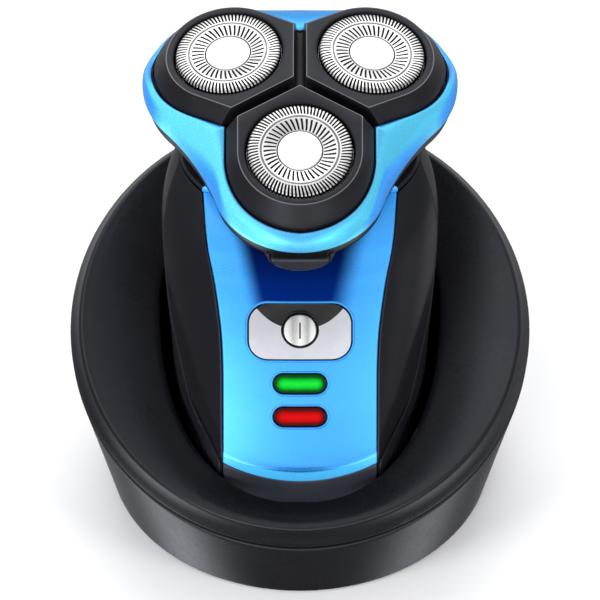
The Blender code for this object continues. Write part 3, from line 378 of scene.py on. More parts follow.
def make_cap():
    n = Nodes("polished_cap")
    x, y, z = n.xyz(n.loc())
    r = n.math("SQRT", n.math("ADD", n.math("MULTIPLY", x, x), n.math("MULTIPLY", y, y)))
    turn = n.noise(14.0, 2, 0.5, n.vec(r, 0.0, 0.0))
    soft = n.noise(0.35, 3, 0.55, n.loc())
    c = n.mix(soft, (0.88, 0.88, 0.89), (0.985, 0.985, 0.98))
    n.bump(turn, 0.05, 0.00002)
    return n.set(color=c, rough=n.remap(turn, 0.3, 0.7, 0.26, 0.34), metal=0.7, coat=0.2)


def steel(name="turned_steel", rgb=(0.62, 0.62, 0.61), rough=0.3, scale=2500):
    n = Nodes(name)
    a = n.noise(scale, 4, 0.65)
    b = n.noise(120, 3, 0.5)
    c = n.mix(a, [v * 0.82 for v in rgb], [min(v * 1.12, 1) for v in rgb])
    c = n.mix(n.remap(b, 0.4, 0.7, 0, 0.25, True), c, [v * 0.7 for v in rgb])
    n.bump(a, 0.2, 0.00002)
    return n.set(color=c, rough=n.remap(a, 0.3, 0.7, rough - 0.06, rough + 0.08), metal=1.0)


def make_lens(name, glow, dark, core):
    """Pill lens: the lamp glows through the middle and falls off to a smoked border."""
    n = Nodes(name)
    x, y, z = n.xyz(n.loc())
    ax = n.math("MAXIMUM", n.math("SUBTRACT", n.math("ABSOLUTE", x), 3.65), 0.0)
    d = n.math("SQRT", n.math("ADD", n.math("MULTIPLY", ax, ax), n.math("MULTIPLY", y, y)))
    cells = n.noise(1.6, 2, 0.5, n.loc())
    d = n.math("ADD", d, n.remap(cells, 0.3, 0.7, -0.08, 0.08))
    k = n.remap(d, 0.75, 2.0, 1.0, 0.0, True)
    hot = n.remap(d, 0.0, 1.1, 1.0, 0.0, True)
    emit = n.mix(hot, glow, core)
    base = n.mix(k, dark, [v * 0.08 for v in glow])
    n.bump(cells, 0.05, 0.00003)
    return n.set(color=base, rough=n.remap(cells, 0.3, 0.7, 0.30, 0.38), coat=0.0, coat_rough=0.12, spec=0.03, emit=emit, emit_strength=n.math("MULTIPLY", n.math("POWER", k, 1.7), 0.9))


def make_gear():
    n = Nodes("acetal")
    a = n.noise(900, 3, 0.5)
    c = n.mix(a, (0.72, 0.72, 0.67), (0.86, 0.86, 0.81))
    n.bump(n.noise(6000, 2, 0.5), 0.2, 0.00002)
    return n.set(color=c, rough=n.remap(a, 0.3, 0.7, 0.36, 0.48), sss=0.05)


def make_board():
    n = Nodes("solder_mask")
    x, y, z = n.xyz(n.coord)
    tracks = n.voronoi(420, out="Distance")
    line = n.remap(tracks, 0.05, 0.09, 1, 0)
    c = n.mix(line, (0.008, 0.11, 0.05), (0.02, 0.24, 0.10))
    n.bump(line, 0.4, 0.00004)
    return n.set(color=c, rough=n.remap(n.noise(800), 0.3, 0.7, 0.3, 0.42), coat=0.4)


def make_rubber():
    n = Nodes("soft_rubber")
    f = n.noise(3500, 4, 0.7)
    c = n.mix(f, (0.016, 0.016, 0.016), (0.05, 0.05, 0.048))
    n.bump(f, 0.6, 0.00006)
    return n.set(color=c, rough=n.remap(f, 0.3, 0.7, 0.72, 0.9), sheen=0.15)


def make_cell():
    n = Nodes("shrink_wrap")
    f = n.noise(260, 3, 0.6)
    c = n.mix(f, (0.05, 0.11, 0.34), (0.10, 0.20, 0.50))
    n.bump(n.noise(340, 3, 0.6), 0.3, 0.00006)
    return n.set(color=c, rough=n.remap(f, 0.3, 0.7, 0.22, 0.36), coat=0.5)


def chin_black_painted_glow():
    """Black plastic with a painted glow that lifts towards its lower edge, where it sits deep in the cradle's shade."""
    mat = plastic("chin_black_painted_glow", (0.020, 0.021, 0.028), 0.30, coat=0.3)
    t = mat.node_tree
    at = t.nodes.new("ShaderNodeAttribute")
    at.attribute_name = "loc"
    sep_z = t.nodes.new("ShaderNodeSeparateXYZ")
    t.links.new(at.outputs["Vector"], sep_z.inputs[0])
    # painted light: emission rising towards the lower edge lights the chin in the cradle's shade
    lift = t.nodes.new("ShaderNodeMapRange")
    lift.interpolation_type = "SMOOTHSTEP"
    t.links.new(sep_z.outputs[2], lift.inputs[0])
    for i, v in enumerate((14.5, 8.5, 0.0, 1.0), 1):
        lift.inputs[i].default_value = v
    p = t.nodes["Principled BSDF"]
    p.inputs["Emission Color"].default_value = (0.0235, 0.0255, 0.0350, 1)
    t.links.new(lift.outputs[0], p.inputs["Emission Strength"])
    return mat


MAT = {
    "blue": make_blue(),
    "blue_panel": make_blue("blue_pearl_panel", panel=True),
    "blue_collar": make_blue("blue_lacquer_collar", 0.25, (0.045, 0.36, 0.95), (0.04, 0.32, 0.92), shadow=False),
    "blue_skirt": make_blue("blue_pearl_skirt", 0.5, painted_light=True),
    "gloss": make_gloss(),
    "satin": plastic("satin_black", (0.011, 0.011, 0.0135), 0.36, coat=0.12),
    "rear": plastic("grip_black", (0.0085, 0.0085, 0.0110), 0.38, coat=0.05, grain=7000, grain_h=0.00003, spec=0.4),
    "chin": chin_black_painted_glow(),
    "tab": plastic("tab_black", (0.014, 0.015, 0.020), 0.26, coat=0.5),
    "dock": plastic("dock_black", (0.0052, 0.0052, 0.0068), 0.28, coat=0.08, grain=8000, coat_rough=0.20, variation=0.02, spec=0.50),
    "cup": make_gloss("cup_black", (0.006, 0.006, 0.008), 0.22),
    "unit": plastic("unit_black", (0.0082, 0.0078, 0.0096), 0.34, coat=0.0, grain=9000, coat_rough=0.14, spec=0.32),
    "web": plastic("web_black", (0.011, 0.0108, 0.0125), 0.4, coat=0.0, grain=9000, spec=0.3),
    # painted shade: a dead black with no reflections for the dock's seam
    "seam": plastic("seam_black", (0.0010, 0.0010, 0.0013), 0.9, coat=0.0, grain=6000, variation=0.2, spec=0.0),
    # painted shade: near-black with little reflection, for the slots under the foils and behind the release slot
    "slot": plastic("slot_painted_shade", (0.0025, 0.0025, 0.0027), 0.6, coat=0.0, grain=9000, spec=0.1),
    "dark": plastic("fine_black", (0.03, 0.03, 0.033), 0.45, grain=6000, grain_h=0.00003),
    "grey": plastic("grey_moulding", (0.30, 0.31, 0.33), 0.45, grain=6000),
    "chrome": make_chrome(),
    # painted reflection: the dark chrome of the trim's scoop
    "smoke": make_painted_reflection_chrome(),
    "button": make_button(),
    "foil": make_foil(),
    "cap": make_cap(),
    "steel": steel(),
    "blade": steel("blade_steel", (0.045, 0.045, 0.047), 0.42),
    "iron": steel("cast_weight", (0.13, 0.13, 0.135), 0.6, 900),
    "brass": steel("contact_brass", (0.78, 0.60, 0.30), 0.28, 1800),
    "green": make_lens("green_lens", (0.0, 0.62, 0.03), (0.004, 0.035, 0.006), (0.015, 0.86, 0.045)),
    "red": make_lens("red_lens", (0.62, 0.002, 0.003), (0.045, 0.004, 0.004), (0.74, 0.006, 0.008)),
    "gear": make_gear(),
    "board": make_board(),
    "rubber": make_rubber(),
    "cell": make_cell(),
    # painted highlight: a thin lighter line round the flat face of each cutter housing
    "line": plastic("painted_edge_highlight", (0.085, 0.085, 0.09), 0.3, coat=0.2),
}
for _key in ("dock", "unit", "gloss", "rear"):
    MAT[_key].node_tree.nodes["Principled BSDF"].inputs["Specular Tint"].default_value = (0.86, 0.91, 1.0, 1)


# ----------------------------------------------------------------------------- mesh building
class Build:
    """Collects grids of points (mm, in the piece's own frame) and makes one object of them."""

    def __init__(self):
        self.v, self.f, self.m, self.n = [], [], [], 0

    def points(self, pts):
        pts = np.asarray(pts, float).reshape(-1, 3)
        base = self.n
        self.v.append(pts)
        self.n += len(pts)
        return base

    def grid(self, P, wrap_u=False, wrap_v=False, mat=0):
        P = np.asarray(P, float)
        r, c = P.shape[:2]
        base = self.points(P)
        for i in range(r if wrap_v else r - 1):
            i2 = (i + 1) % r
            for j in range(c if wrap_u else c - 1):
                j2 = (j + 1) % c
                self.f.append((base + i * c + j, base + i * c + j2, base + i2 * c + j2, base + i2 * c + j))
                self.m.append(mat)
        return base

    def cap(self, ring, mat=0, centre=None):
        ring = np.asarray(ring, float)
        base = self.points(ring)
        n = len(ring)
        if centre is None:
            self.f.append(tuple(range(base, base + n)))
            self.m.append(mat)
        else:
            c = self.points([centre])
            for i in range(n):
                self.f.append((base + i, base + (i + 1) % n, c))
                self.m.append(mat)

    def rings(self, rings, loop=False, cap=(False, False), mat=0):
        """Closed rings joined in order; loop joins the last to the first."""
        self.grid(rings, wrap_u=True, wrap_v=loop, mat=mat)
        for k, on in ((0, cap[0]), (-1, cap[1])):
            if on:
                r = np.asarray(rings[k], float)
                self.cap(r, mat, r.mean(0))

    def shell(self, P, Q, mat=0):
        """Outer grid P and inner grid Q closed round the border."""
        P, Q = np.asarray(P, float), np.asarray(Q, float)
        self.grid(P, mat=mat)
        self.grid(Q, mat=mat)
        for a, b in ((P[0], Q[0]), (P[-1], Q[-1]), (P[:, 0], Q[:, 0]), (P[:, -1], Q[:, -1])):
            self.grid([a, b], mat=mat)

    def make(self, name, mats, body, M=I4, replaces=(), angle=38.0, merge=True):
        pts = np.concatenate(self.v)
        me = bpy.data.meshes.new(name)
        me.from_pydata(pts.tolist(), [], self.f)
        for k in mats if isinstance(mats, (list, tuple)) else [mats]:
            me.materials.append(MAT[k])
        me.polygons.foreach_set("material_index", self.m)
        bm = bmesh.new()
        bm.from_mesh(me)
        if merge:
            bmesh.ops.remove_doubles(bm, verts=bm.verts, dist=0.0008)
        bmesh.ops.recalc_face_normals(bm, faces=bm.faces)
        bm.to_mesh(me)
        bm.free()
        return settle(name, me, body, M, replaces, angle)


def settle(name, me, body, M=I4, replaces=(), angle=38.0):
    """A mesh in millimetres in frame M becomes a piece in the row frame, with its own coordinates kept as 'loc'."""
    n = len(me.vertices)
    co = np.zeros(n * 3)
    me.vertices.foreach_get("co", co)
    co = co.reshape(-1, 3)
    at = me.attributes.get("loc") or me.attributes.new("loc", "FLOAT_VECTOR", "POINT")
    at.data.foreach_set("vector", co.astype(np.float32).ravel())
    m = to_np(M)
    world = (co @ m[:3, :3].T + m[:3, 3]) * MM
    me.vertices.foreach_set("co", world.astype(np.float32).ravel())
    me.update()
    me.shade_smooth()
    me.set_sharp_from_angle(angle=math.radians(angle))
    ob = bpy.data.objects.new(name, me)
    bpy.context.scene.collection.objects.link(ob)
    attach(ob, body)
    if replaces:
        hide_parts(*replaces)
    return ob


def face_out(bm):
    if bm.calc_volume(signed=True) < 0:
        bmesh.ops.reverse_faces(bm, faces=bm.faces[:])


def cooked(bm, steps, mats):
    """Runs modifiers on a bmesh in millimetres and returns the mesh; steps is a list of (type, settings)."""
    me = bpy.data.meshes.new("tmp")
    face_out(bm)
    bm.to_mesh(me)
    bm.free()
    for k in mats if isinstance(mats, (list, tuple)) else [mats]:
        me.materials.append(MAT[k])
    ob = bpy.data.objects.new("tmp", me)
    bpy.context.scene.collection.objects.link(ob)
    extra = []
    for kind, settings in steps:
        m = ob.modifiers.new(kind, kind)
        for k, v in settings.items():
            if k == "object" and isinstance(v, bmesh.types.BMesh):
                cme = bpy.data.meshes.new("cut")
                face_out(v)
                v.to_mesh(cme)
                v.free()
                cut = bpy.data.objects.new("cut", cme)
                bpy.context.scene.collection.objects.link(cut)
                extra.append(cut)
                v = cut
            setattr(m, k, v)
    bpy.context.view_layer.update()
    dg = bpy.context.evaluated_depsgraph_get()
    out = bpy.data.meshes.new_from_object(ob.evaluated_get(dg))
    for o in [ob, *extra]:
        bpy.data.objects.remove(o, do_unlink=True)
    return out


def prism_bm(outline, z0, z1):
    bm = bmesh.new()
    a = [bm.verts.new((x, y, z0)) for x, y in outline]
    b = [bm.verts.new((x, y, z1)) for x, y in outline]
    n = len(a)
    for i in range(n):
        bm.faces.new((a[i], a[(i + 1) % n], b[(i + 1) % n], b[i]))
    bm.faces.new(list(reversed(a)))
    bm.faces.new(b)
    bmesh.ops.recalc_face_normals(bm, faces=bm.faces)
    return bm


def diced(me, step_x, step_y, x0, x1, y0, y1):
    """Cuts a flat-built mesh into a fine grid so that it can be bent."""
    bm = bmesh.new()
    bm.from_mesh(me)
    for axis, step, lo, hi in ((0, step_x, x0, x1), (1, step_y, y0, y1)):
        n = int((hi - lo) / step)
        for k in range(1, n):
            p = [0.0, 0.0, 0.0]
            p[axis] = lo + (hi - lo) * k / n + 0.00137
            d = [0.0, 0.0, 0.0]
            d[axis] = 1.0
            bmesh.ops.bisect_plane(bm, geom=bm.verts[:] + bm.edges[:] + bm.faces[:], dist=1e-5, plane_co=p, plane_no=d)
    bm.to_mesh(me)
    bm.free()
    return me


def rounded_rect(w, h, r, n=10, top_bow=0.0, bottom_bow=0.0, edge=14):
    pts = []
    corners = ((w / 2 - r, h / 2 - r, 0), (-w / 2 + r, h / 2 - r, 90), (-w / 2 + r, -h / 2 + r, 180), (w / 2 - r, -h / 2 + r, 270))
    for i, (cx, cy, a0) in enumerate(corners):
        for k in range(n + 1):
            a = math.radians(a0 + 90 * k / n)
            pts.append((cx + r * math.cos(a), cy + r * math.sin(a)))
        nx, ny, _ = corners[(i + 1) % 4]
        a = math.radians(a0 + 90)
        p0 = (cx + r * math.cos(a), cy + r * math.sin(a))
        p1 = (nx + r * math.cos(a), ny + r * math.sin(a))
        for k in range(1, edge):
            pts.append((p0[0] + (p1[0] - p0[0]) * k / edge, p0[1] + (p1[1] - p0[1]) * k / edge))
    out = []
    for x, y in pts:
        u = 1 - (x / (w / 2)) ** 2
        out.append((x, y + (top_bow if y > 0 else bottom_bow) * u * min(abs(y) / (h / 2), 1)))
    return out


def offset_outline(pts, d):
    """Moves a smooth closed outline (counter-clockwise) outwards by d."""
    p = np.asarray(pts, float)
    t = np.roll(p, -1, 0) - np.roll(p, 1, 0)
    t /= np.linalg.norm(t, axis=1)[:, None] + 1e-12
    return p + d * np.stack([t[:, 1], -t[:, 0]], 1)


# ----------------------------------------------------------------------------- handle outline (the CAD's stations, finely sampled)
STATIONS = np.array(
    [
        (6, 14.5, 1.0, 13.5, 14.0, 13.0, 17.5, -3, 10.0),
        (8, 17.3, 1.2, 15.8, 16.3, 15.4, 21.0, -4, 13.0),
        (11, 19.0, 1.3, 17.0, 17.5, 17.0, 23.6, -5, 15.6),
        (14, 20.2, 1.4, 17.4, 17.9, 18.2, 25.0, -6, 17.5),
        (18, 21.6, 1.5, 17.5, 18.0, 19.5, 26.4, -7, 19.5),
        (22, 21.9, 1.5, 17.5, 20.6, 15.0, 27.2, -8, 21.0),
        (30, 22.0, 1.6, 17.5, 24.7, 11.5, 28.3, -8, 23.0),
        (40, 21.6, 1.6, 17.5, 27.1, 9.0, 29.0, -7, 24.4),
        (50, 21.2, 1.6, 17.75, 29.1, 7.0, 29.9, -5, 25.0),
        (60, 21.0, 1.6, 18.5, 30.2, 6.0, 30.6, -3, 25.0),
        (70, 21.0, 1.8, 19.65, 30.8, 5.0, 31.0, -1, 24.0),
        (76, 20.2, 2.0, 20.7, 30.1, 4.2, 30.25, -1, 22.8),
        (80, 17.6, 2.2, 21.3, 28.9, 3.2, 29.0, -1, 21.5),
        (84, 12.0, 2.0, 21.8, 26.9, 1.5, 27.1, -1, 19.5),
    ]
)


def hermite(xs, ys, x):
    xs, ys = np.asarray(xs, float), np.asarray(ys, float)
    x = np.clip(np.asarray(x, float), xs[0], xs[-1])
    h, d = np.diff(xs), np.diff(ys) / np.diff(xs)
    m = np.zeros(len(xs))
    m[0], m[-1] = d[0], d[-1]
    for k in range(1, len(xs) - 1):
        if d[k - 1] * d[k] > 0:
            w1, w2 = 2 * h[k] + h[k - 1], h[k] + 2 * h[k - 1]
            m[k] = (w1 + w2) / (w1 / d[k - 1] + w2 / d[k])
    k = np.clip(np.searchsorted(xs, x, "right") - 1, 0, len(xs) - 2)
    t = (x - xs[k]) / h[k]
    return (2 * t**3 - 3 * t**2 + 1) * ys[k] + (t**3 - 2 * t**2 + t) * h[k] * m[k] + (-2 * t**3 + 3 * t**2) * ys[k + 1] + (t**3 - t**2) * h[k] * m[k + 1]


ZT = np.linspace(6, 84, 1561)
TAB = np.stack([hermite(STATIONS[:, 0], STATIONS[:, k], ZT) for k in range(1, 9)], 1)
_pad = 55
_ext = np.concatenate([2 * TAB[:1] - TAB[_pad:0:-1], TAB, 2 * TAB[-1:] - TAB[-2 : -_pad - 2 : -1]])
_ker = np.hanning(2 * _pad + 1)
_ker /= _ker.sum()
TAB = np.stack([np.convolve(_ext[:, k], _ker, "valid") for k in range(8)], 1)


def station(z):
    return [np.interp(z, ZT, TAB[:, k]) for k in range(8)]


def smooth(u):
    u = np.clip(u, 0.0, 1.0)
    return u * u * (3 - 2 * u)


def place(x, e, zc):
    u = smooth((np.asarray(zc, float) - 35.0) / 51.0)
    tc, phi = -1.7 * u, math.radians(HEAD_TILT) * u
    x = np.asarray(x, float) + 0 * tc
    return np.stack(np.broadcast_arrays(x, -(tc + e * np.cos(phi)), zc - e * np.sin(phi)), -1)


def casing(zone, s, zc):
    """Right half of the outline, vectorised: returns x and forward e."""
    s, zc = np.broadcast_arrays(np.asarray(s, float), np.asarray(zc, float))
    tf, crown, xb, xc, ec, xm, em, bk = station(zc)
    if zone == "front":
        return xb * s, tf - crown * s * s
    if zone == "side":
        bx, be = xb, tf - crown
        dx, de = xc - bx, ec - be
        mx, me = (bx + xc) / 2 - de * 0.14, (be + ec) / 2 + dx * 0.14
        return (1 - s) ** 2 * bx + 2 * s * (1 - s) * mx + s * s * xc, (1 - s) ** 2 * be + 2 * s * (1 - s) * me + s * s * ec
    t = np.clip(s / 0.25, 0, 1)
    mid_e = ec - (ec - em) * 0.4
    x1 = (1 - t) ** 2 * xc + 2 * t * (1 - t) * xm + t * t * xm
    e1 = (1 - t) ** 2 * ec + 2 * t * (1 - t) * mid_e + t * t * em
    a = np.clip((s - 0.25) / 0.75, 0, 1) * pi / 2
    n = 2.3
    x2 = xm * np.clip(np.cos(a), 0, None) ** (2 / n)
    e2 = em - (em + bk) * np.clip(np.sin(a), 0, None) ** (2 / n)
    return np.where(s < 0.25, x1, x2), np.where(s < 0.25, e1, e2)


def panel_foot(s):
    return 13.5 + 4.8 * s * s


def normals(P, outward):
    """Unit normals of a grid of points; outward is a function that gives a rough outward direction."""
    du = np.gradient(P, axis=1)
    dv = np.gradient(P, axis=0)
    n = np.cross(du, dv)
    n /= np.linalg.norm(n, axis=2)[:, :, None] + 1e-12
    o = outward(P)
    sgn = np.sign((n * o).sum(2))
    sgn[sgn == 0] = 1
    return n * sgn[:, :, None]


def from_axis(P):
    o = P.copy()
    o[:, :, 2] = 0
    o[:, :, 1] -= 1.0
    return o


def roll(d, r):
    """How far a rounded border of radius r drops at distance d from it."""
    d = np.clip(d, 0, r)
    return r - np.sqrt(np.clip(r * r - (r - d) ** 2, 0, None))


def edge_steps(r):
    return [0.0, 0.06 * r, 0.2 * r, 0.42 * r, 0.7 * r, r]


def along(zone, zc, gap0, gap1, n, r0=0.35, r1=0.35):
    """Positions along a zone at one station, dense at both borders. Returns x, e and distances to the two borders."""
    ss = np.linspace(0, 1, 241)
    x, e = casing(zone, ss, zc)
    L = np.concatenate([[0], np.cumsum(np.hypot(np.diff(x), np.diff(e)))])
    a, b = gap0, L[-1] - gap1
    mid = np.linspace(a + r0 * 1.6, b - r1 * 1.6, n)
    pos = np.concatenate([a + np.array(edge_steps(r0)), mid, b - np.array(edge_steps(r1))[::-1]])
    return np.interp(pos, L, x), np.interp(pos, L, e), pos - a, b - pos


# arc length up the middle of the front: features on the panel are laid out in (x, length) and bent onto it
_zf = np.linspace(6, 84, 1561)
_pf = place(*casing("front", 0.0, _zf), _zf)
_lf = np.concatenate([[0], np.cumsum(np.linalg.norm(np.diff(_pf, axis=0), axis=1))])


def len_of(zc):
    return float(np.interp(zc, _zf, _lf))


def front_surface(x, L):
    zc = np.interp(L, _lf, _zf)
    xb = station(zc)[2]
    return place(*casing("front", x / xb, zc), zc)


def bend(pts, centre_zc):
    """(x, y along the panel from a centre, height) to the shaver's frame."""
    pts = np.asarray(pts, float)
    L = pts[:, 1] + len_of(centre_zc)
    x = pts[:, 0]
    h = 0.05
    p = front_surface(x, L)
    dx = front_surface(x + h, L) - front_surface(x - h, L)
    dl = front_surface(x, L + h) - front_surface(x, L - h)
    n = np.cross(dx, dl)
    n /= np.linalg.norm(n, axis=1)[:, None]
    return p + n * pts[:, 2:3]


def bent(me, centre_zc, name, body, replaces=(), angle=38.0, mats=None):
    """A mesh built flat is bent onto the front panel; 'loc' keeps the flat coordinates."""
    n = len(me.vertices)
    co = np.zeros(n * 3)
    me.vertices.foreach_get("co", co)
    co = co.reshape(-1, 3)
    ob = settle(name, me, body, I4, replaces, angle)
    m = to_np(S)
    world = (bend(co, centre_zc) @ m[:3, :3].T + m[:3, 3]) * MM
    me.vertices.foreach_set("co", world.astype(np.float32).ravel())
    me.update()
    return ob


def bent_build(b, centre_zc, name, mats, body, replaces=(), angle=38.0):
    pts = np.concatenate(b.v)
    me = bpy.data.meshes.new(name)
    me.from_pydata(pts.tolist(), [], b.f)
    for k in mats if isinstance(mats, (list, tuple)) else [mats]:
        me.materials.append(MAT[k])
    me.polygons.foreach_set("material_index", b.m)
    bm = bmesh.new()
    bm.from_mesh(me)
    bmesh.ops.remove_doubles(bm, verts=bm.verts, dist=0.0008)
    bmesh.ops.recalc_face_normals(bm, faces=bm.faces)
    bm.to_mesh(me)
    bm.free()
    return bent(me, centre_zc, name, body, replaces, angle)


def outline_rings(outline, profile, centre_zc=None):
    """An outline swept by a profile of (outward offset, height)."""
    return [[(x, y, w) for x, y in offset_outline(outline, o)] for o, w in profile]


# ----------------------------------------------------------------------------- front panel
TRIM_W, TRIM_H, TRIM_R = 22.9, 12.63, 4.3
TRIM_SHIFT = -0.85  # the plate sits a little low around the button
trim_line = [(p[0], p[1] + TRIM_SHIFT) for p in rounded_rect(TRIM_W, TRIM_H, TRIM_R, 12, 0.30, 0.22)]
pill_line = rounded_rect(11.7, 4.5, 2.24, 14, edge=10)

xs_rel = np.concatenate([-1 + np.array(edge_steps(0.02)), np.linspace(-0.965, 0.965, 56), 1 - np.array(edge_steps(0.02))[::-1]])
low_rows = [0, 0.01, 0.03, 0.07, 0.13, 0.22, 0.4, 0.6, 0.78, 0.86, 0.905, 0.935, 0.96, 0.98, 1.0, 1.02, 1.045, 1.075, 1.11, 1.16, 1.24, 1.38, 1.6]
top_rows = list(np.linspace(0.0, 0.955, 76))[1:] + [0.968, 0.978, 0.986, 0.992, 0.9955, 0.998, 0.9992, 1.0]
rows = []
facet_w = 3.3 - 1.5 * xs_rel**2
foot_z = panel_foot(xs_rel)
for k in low_rows:
    rows.append(foot_z + facet_w * k)
for k in top_rows:
    rows.append(foot_z + facet_w * 1.6 + (84 - foot_z - facet_w * 1.6) * k)
zc = np.array(rows)
srel = np.broadcast_to(xs_rel, zc.shape)
xb = station(zc)[2]
P = place(*casing("front", srel * (1 - 0.15 / xb), zc), zc)
N = normals(P, from_axis)
side_d = (1 - np.abs(srel)) * xb
low_d = zc - foot_z
top_d = (84 - zc) * 0.9
band = np.clip(1 - low_d / facet_w, 0, 1)
ridge = np.exp(-(((low_d - facet_w) / 0.34) ** 2))
sink = roll(side_d, 0.36) + roll(low_d, 0.30) + roll(top_d, 0.06) + 0.030 * facet_w * band - 0.035 * ridge * np.clip(side_d / 0.5, 0, 1)
outer = P - N * sink[:, :, None]
inner = P - N * (SHELL + 0.62 * band[:, :, None])
b = Build()
b.shell(outer, inner)
pts = np.concatenate(b.v)
me = bpy.data.meshes.new("panel")
me.from_pydata(pts.tolist(), [], b.f)
bm = bmesh.new()
bm.from_mesh(me)
bmesh.ops.remove_doubles(bm, verts=bm.verts, dist=0.0008)
bmesh.ops.recalc_face_normals(bm, faces=bm.faces)


def bent_cutter(outline, centre_zc, grow):
    c = bmesh.new()
    o = offset_outline(outline, grow)
    lo = bend([(x, y, -4.5) for x, y in o], centre_zc)
    hi = bend([(x, y, 4.5) for x, y in o], centre_zc)
    a = [c.verts.new(p) for p in lo]
    d = [c.verts.new(p) for p in hi]
    n = len(a)
    for i in range(n):
        c.faces.new((a[i], a[(i + 1) % n], d[(i + 1) % n], d[i]))
    c.faces.new(list(reversed(a)))
    c.faces.new(d)
    bmesh.ops.recalc_face_normals(c, faces=c.faces)
    return c


steps = [
    ("BOOLEAN", {"operation": "DIFFERENCE", "solver": "EXACT", "object": bent_cutter(trim_line, TRIM_ZC, 0.42)}),
    ("BOOLEAN", {"operation": "DIFFERENCE", "solver": "EXACT", "object": bent_cutter(pill_line, LED_GREEN_Z, 0.40)}),
    ("BOOLEAN", {"operation": "DIFFERENCE", "solver": "EXACT", "object": bent_cutter(pill_line, LED_RED_Z, 0.40)}),
]
me = cooked(bm, steps, "blue_panel")
settle("front_panel_skin", me, "handle", S, ("front_panel",), 42).visible_glossy = False

LIP = [(0.95, -0.25), (0.86, -0.02), (0.72, 0.055), (0.58, 0.10), (0.46, 0.10), (0.36, 0.05), (0.30, -0.05), (0.28, -0.3), (0.28, -1.5), (0.95, -1.5)]
for tag, line, z0 in (("trim", trim_line, TRIM_ZC), ("green", pill_line, LED_GREEN_Z), ("red", pill_line, LED_RED_Z)):
    b = Build()
    b.rings(outline_rings(line, LIP), loop=True)
    bent_build(b, z0, f"panel_lip_{tag}", "blue", "handle")
    # black bed that shows in the gap
    b = Build()
    b.rings(outline_rings(line, [(0.6, -1.5), (0.6, -1.3), (-1.2, -1.3), (-1.2, -1.5)]), loop=True)
    bent_build(b, z0, f"panel_bed_{tag}", "cup", "handle")

# ----------------------------------------------------------------------------- chrome trim, its scoop painted dark as a painted reflection
SCOOP_C, SCOOP_R = 12.5, 12.3


def disc_outline(r, cx=0.0, cy=0.0, n=72):
    return [(cx + r * math.cos(2 * pi * k / n), cy + r * math.sin(2 * pi * k / n)) for k in range(n)]


bm = prism_bm([tuple(p) for p in offset_outline(trim_line, 0.0)], -1.25, 0.38)
me = cooked(
    bm,
    [
        ("BOOLEAN", {"operation": "DIFFERENCE", "solver": "EXACT", "object": prism_bm(disc_outline(SCOOP_R, 0, SCOOP_C, 160), -0.85, 3)}),
        ("BOOLEAN", {"operation": "DIFFERENCE", "solver": "EXACT", "object": prism_bm(disc_outline(4.22), -3, 3)}),
        ("BEVEL", {"width": 0.16, "segments": 3, "limit_method": "ANGLE", "angle_limit": math.radians(50), "use_clamp_overlap": False}),
    ],
    "chrome",
)
diced(me, 0.9, 0.9, -12, 12, -8.1, 7.6)
bent(me, TRIM_ZC, "trim_plate_chrome", "handle", ("trim_plate",), 10)

# the scoop's floor falls away from the arc towards the top edge
b = Build()
rows_s = np.linspace(0, 1, 26)
cols_s = np.linspace(-1, 1, 61)


def trim_top(x):
    """Height of the trim's outline above a given x."""
    w, h, r = TRIM_W, TRIM_H, TRIM_R
    ax = min(abs(x), w / 2 - 0.001)
    y = h / 2 if ax < w / 2 - r else h / 2 - r + math.sqrt(max(r * r - (ax - (w / 2 - r)) ** 2, 0))
    return y + 0.30 * (1 - (x / (w / 2)) ** 2) + TRIM_SHIFT


grid_top, grid_low = [], []
XS = 9.45
for k in cols_s:
    x = XS * math.sin(k * pi / 2) if abs(k) < 1 else XS * k
    y0 = SCOOP_C - math.sqrt(SCOOP_R**2 - x * x)
    y1 = max(trim_top(x) - 0.10, y0 + 0.12)
    col, low = [], []
    for s in rows_s:
        y = y0 + 0.04 + (y1 - y0 - 0.04) * s
        deep = 0.30 - 1.05 * (1 - math.exp(-(y - y0) / 2.3))
        col.append((x, y, deep))
        low.append((x, y, -1.2))
    grid_top.append(col)
    grid_low.append(low)
b.shell(grid_top, grid_low)
pts = np.concatenate(b.v)
me = bpy.data.meshes.new("scoop")
me.from_pydata(pts.tolist(), [], b.f)
bm = bmesh.new()
bm.from_mesh(me)
bmesh.ops.remove_doubles(bm, verts=bm.verts, dist=0.0008)
bmesh.ops.recalc_face_normals(bm, faces=bm.faces)
# the scoop takes the dark painted reflection
me = cooked(bm, [("BOOLEAN", {"operation": "DIFFERENCE", "solver": "EXACT", "object": prism_bm(disc_outline(4.22), -3, 3)})], "smoke")
bent(me, TRIM_ZC, "trim_scoop", "handle", (), 50)

# ----------------------------------------------------------------------------- power button
b = Build()
prof = [(3.72, -2.4), (3.72, 0.55), (3.70, 0.66), (3.62, 0.76), (3.50, 0.82), (3.3, 0.84), (2.4, 0.90), (1.2, 0.94), (0.4, 0.95)]
N_B = 96
rings = [[(r * math.cos(2 * pi * k / N_B), r * math.sin(2 * pi * k / N_B), z) for k in range(N_B)] for r, z in prof]
b.rings(rings, cap=(True, True))
pts = np.concatenate(b.v)
me = bpy.data.meshes.new("cap")
me.from_pydata(pts.tolist(), [], b.f)
bm = bmesh.new()
bm.from_mesh(me)
bmesh.ops.remove_doubles(bm, verts=bm.verts, dist=0.0008)
bmesh.ops.recalc_face_normals(bm, faces=bm.faces)
me = cooked(bm, [("BOOLEAN", {"operation": "DIFFERENCE", "solver": "EXACT", "object": prism_bm(rounded_rect(0.36, 3.9, 0.17, 6, edge=2), 0.62, 3)})], "button")
trim_rx = None
a0, a1 = front_surface(np.array([0.0]), np.array([len_of(TRIM_ZC) - 1.5]))[0], front_surface(np.array([0.0]), np.array([len_of(TRIM_ZC) + 1.5]))[0]
d = a1 - a0
mid = front_surface(np.array([0.0]), np.array([len_of(TRIM_ZC)]))[0]
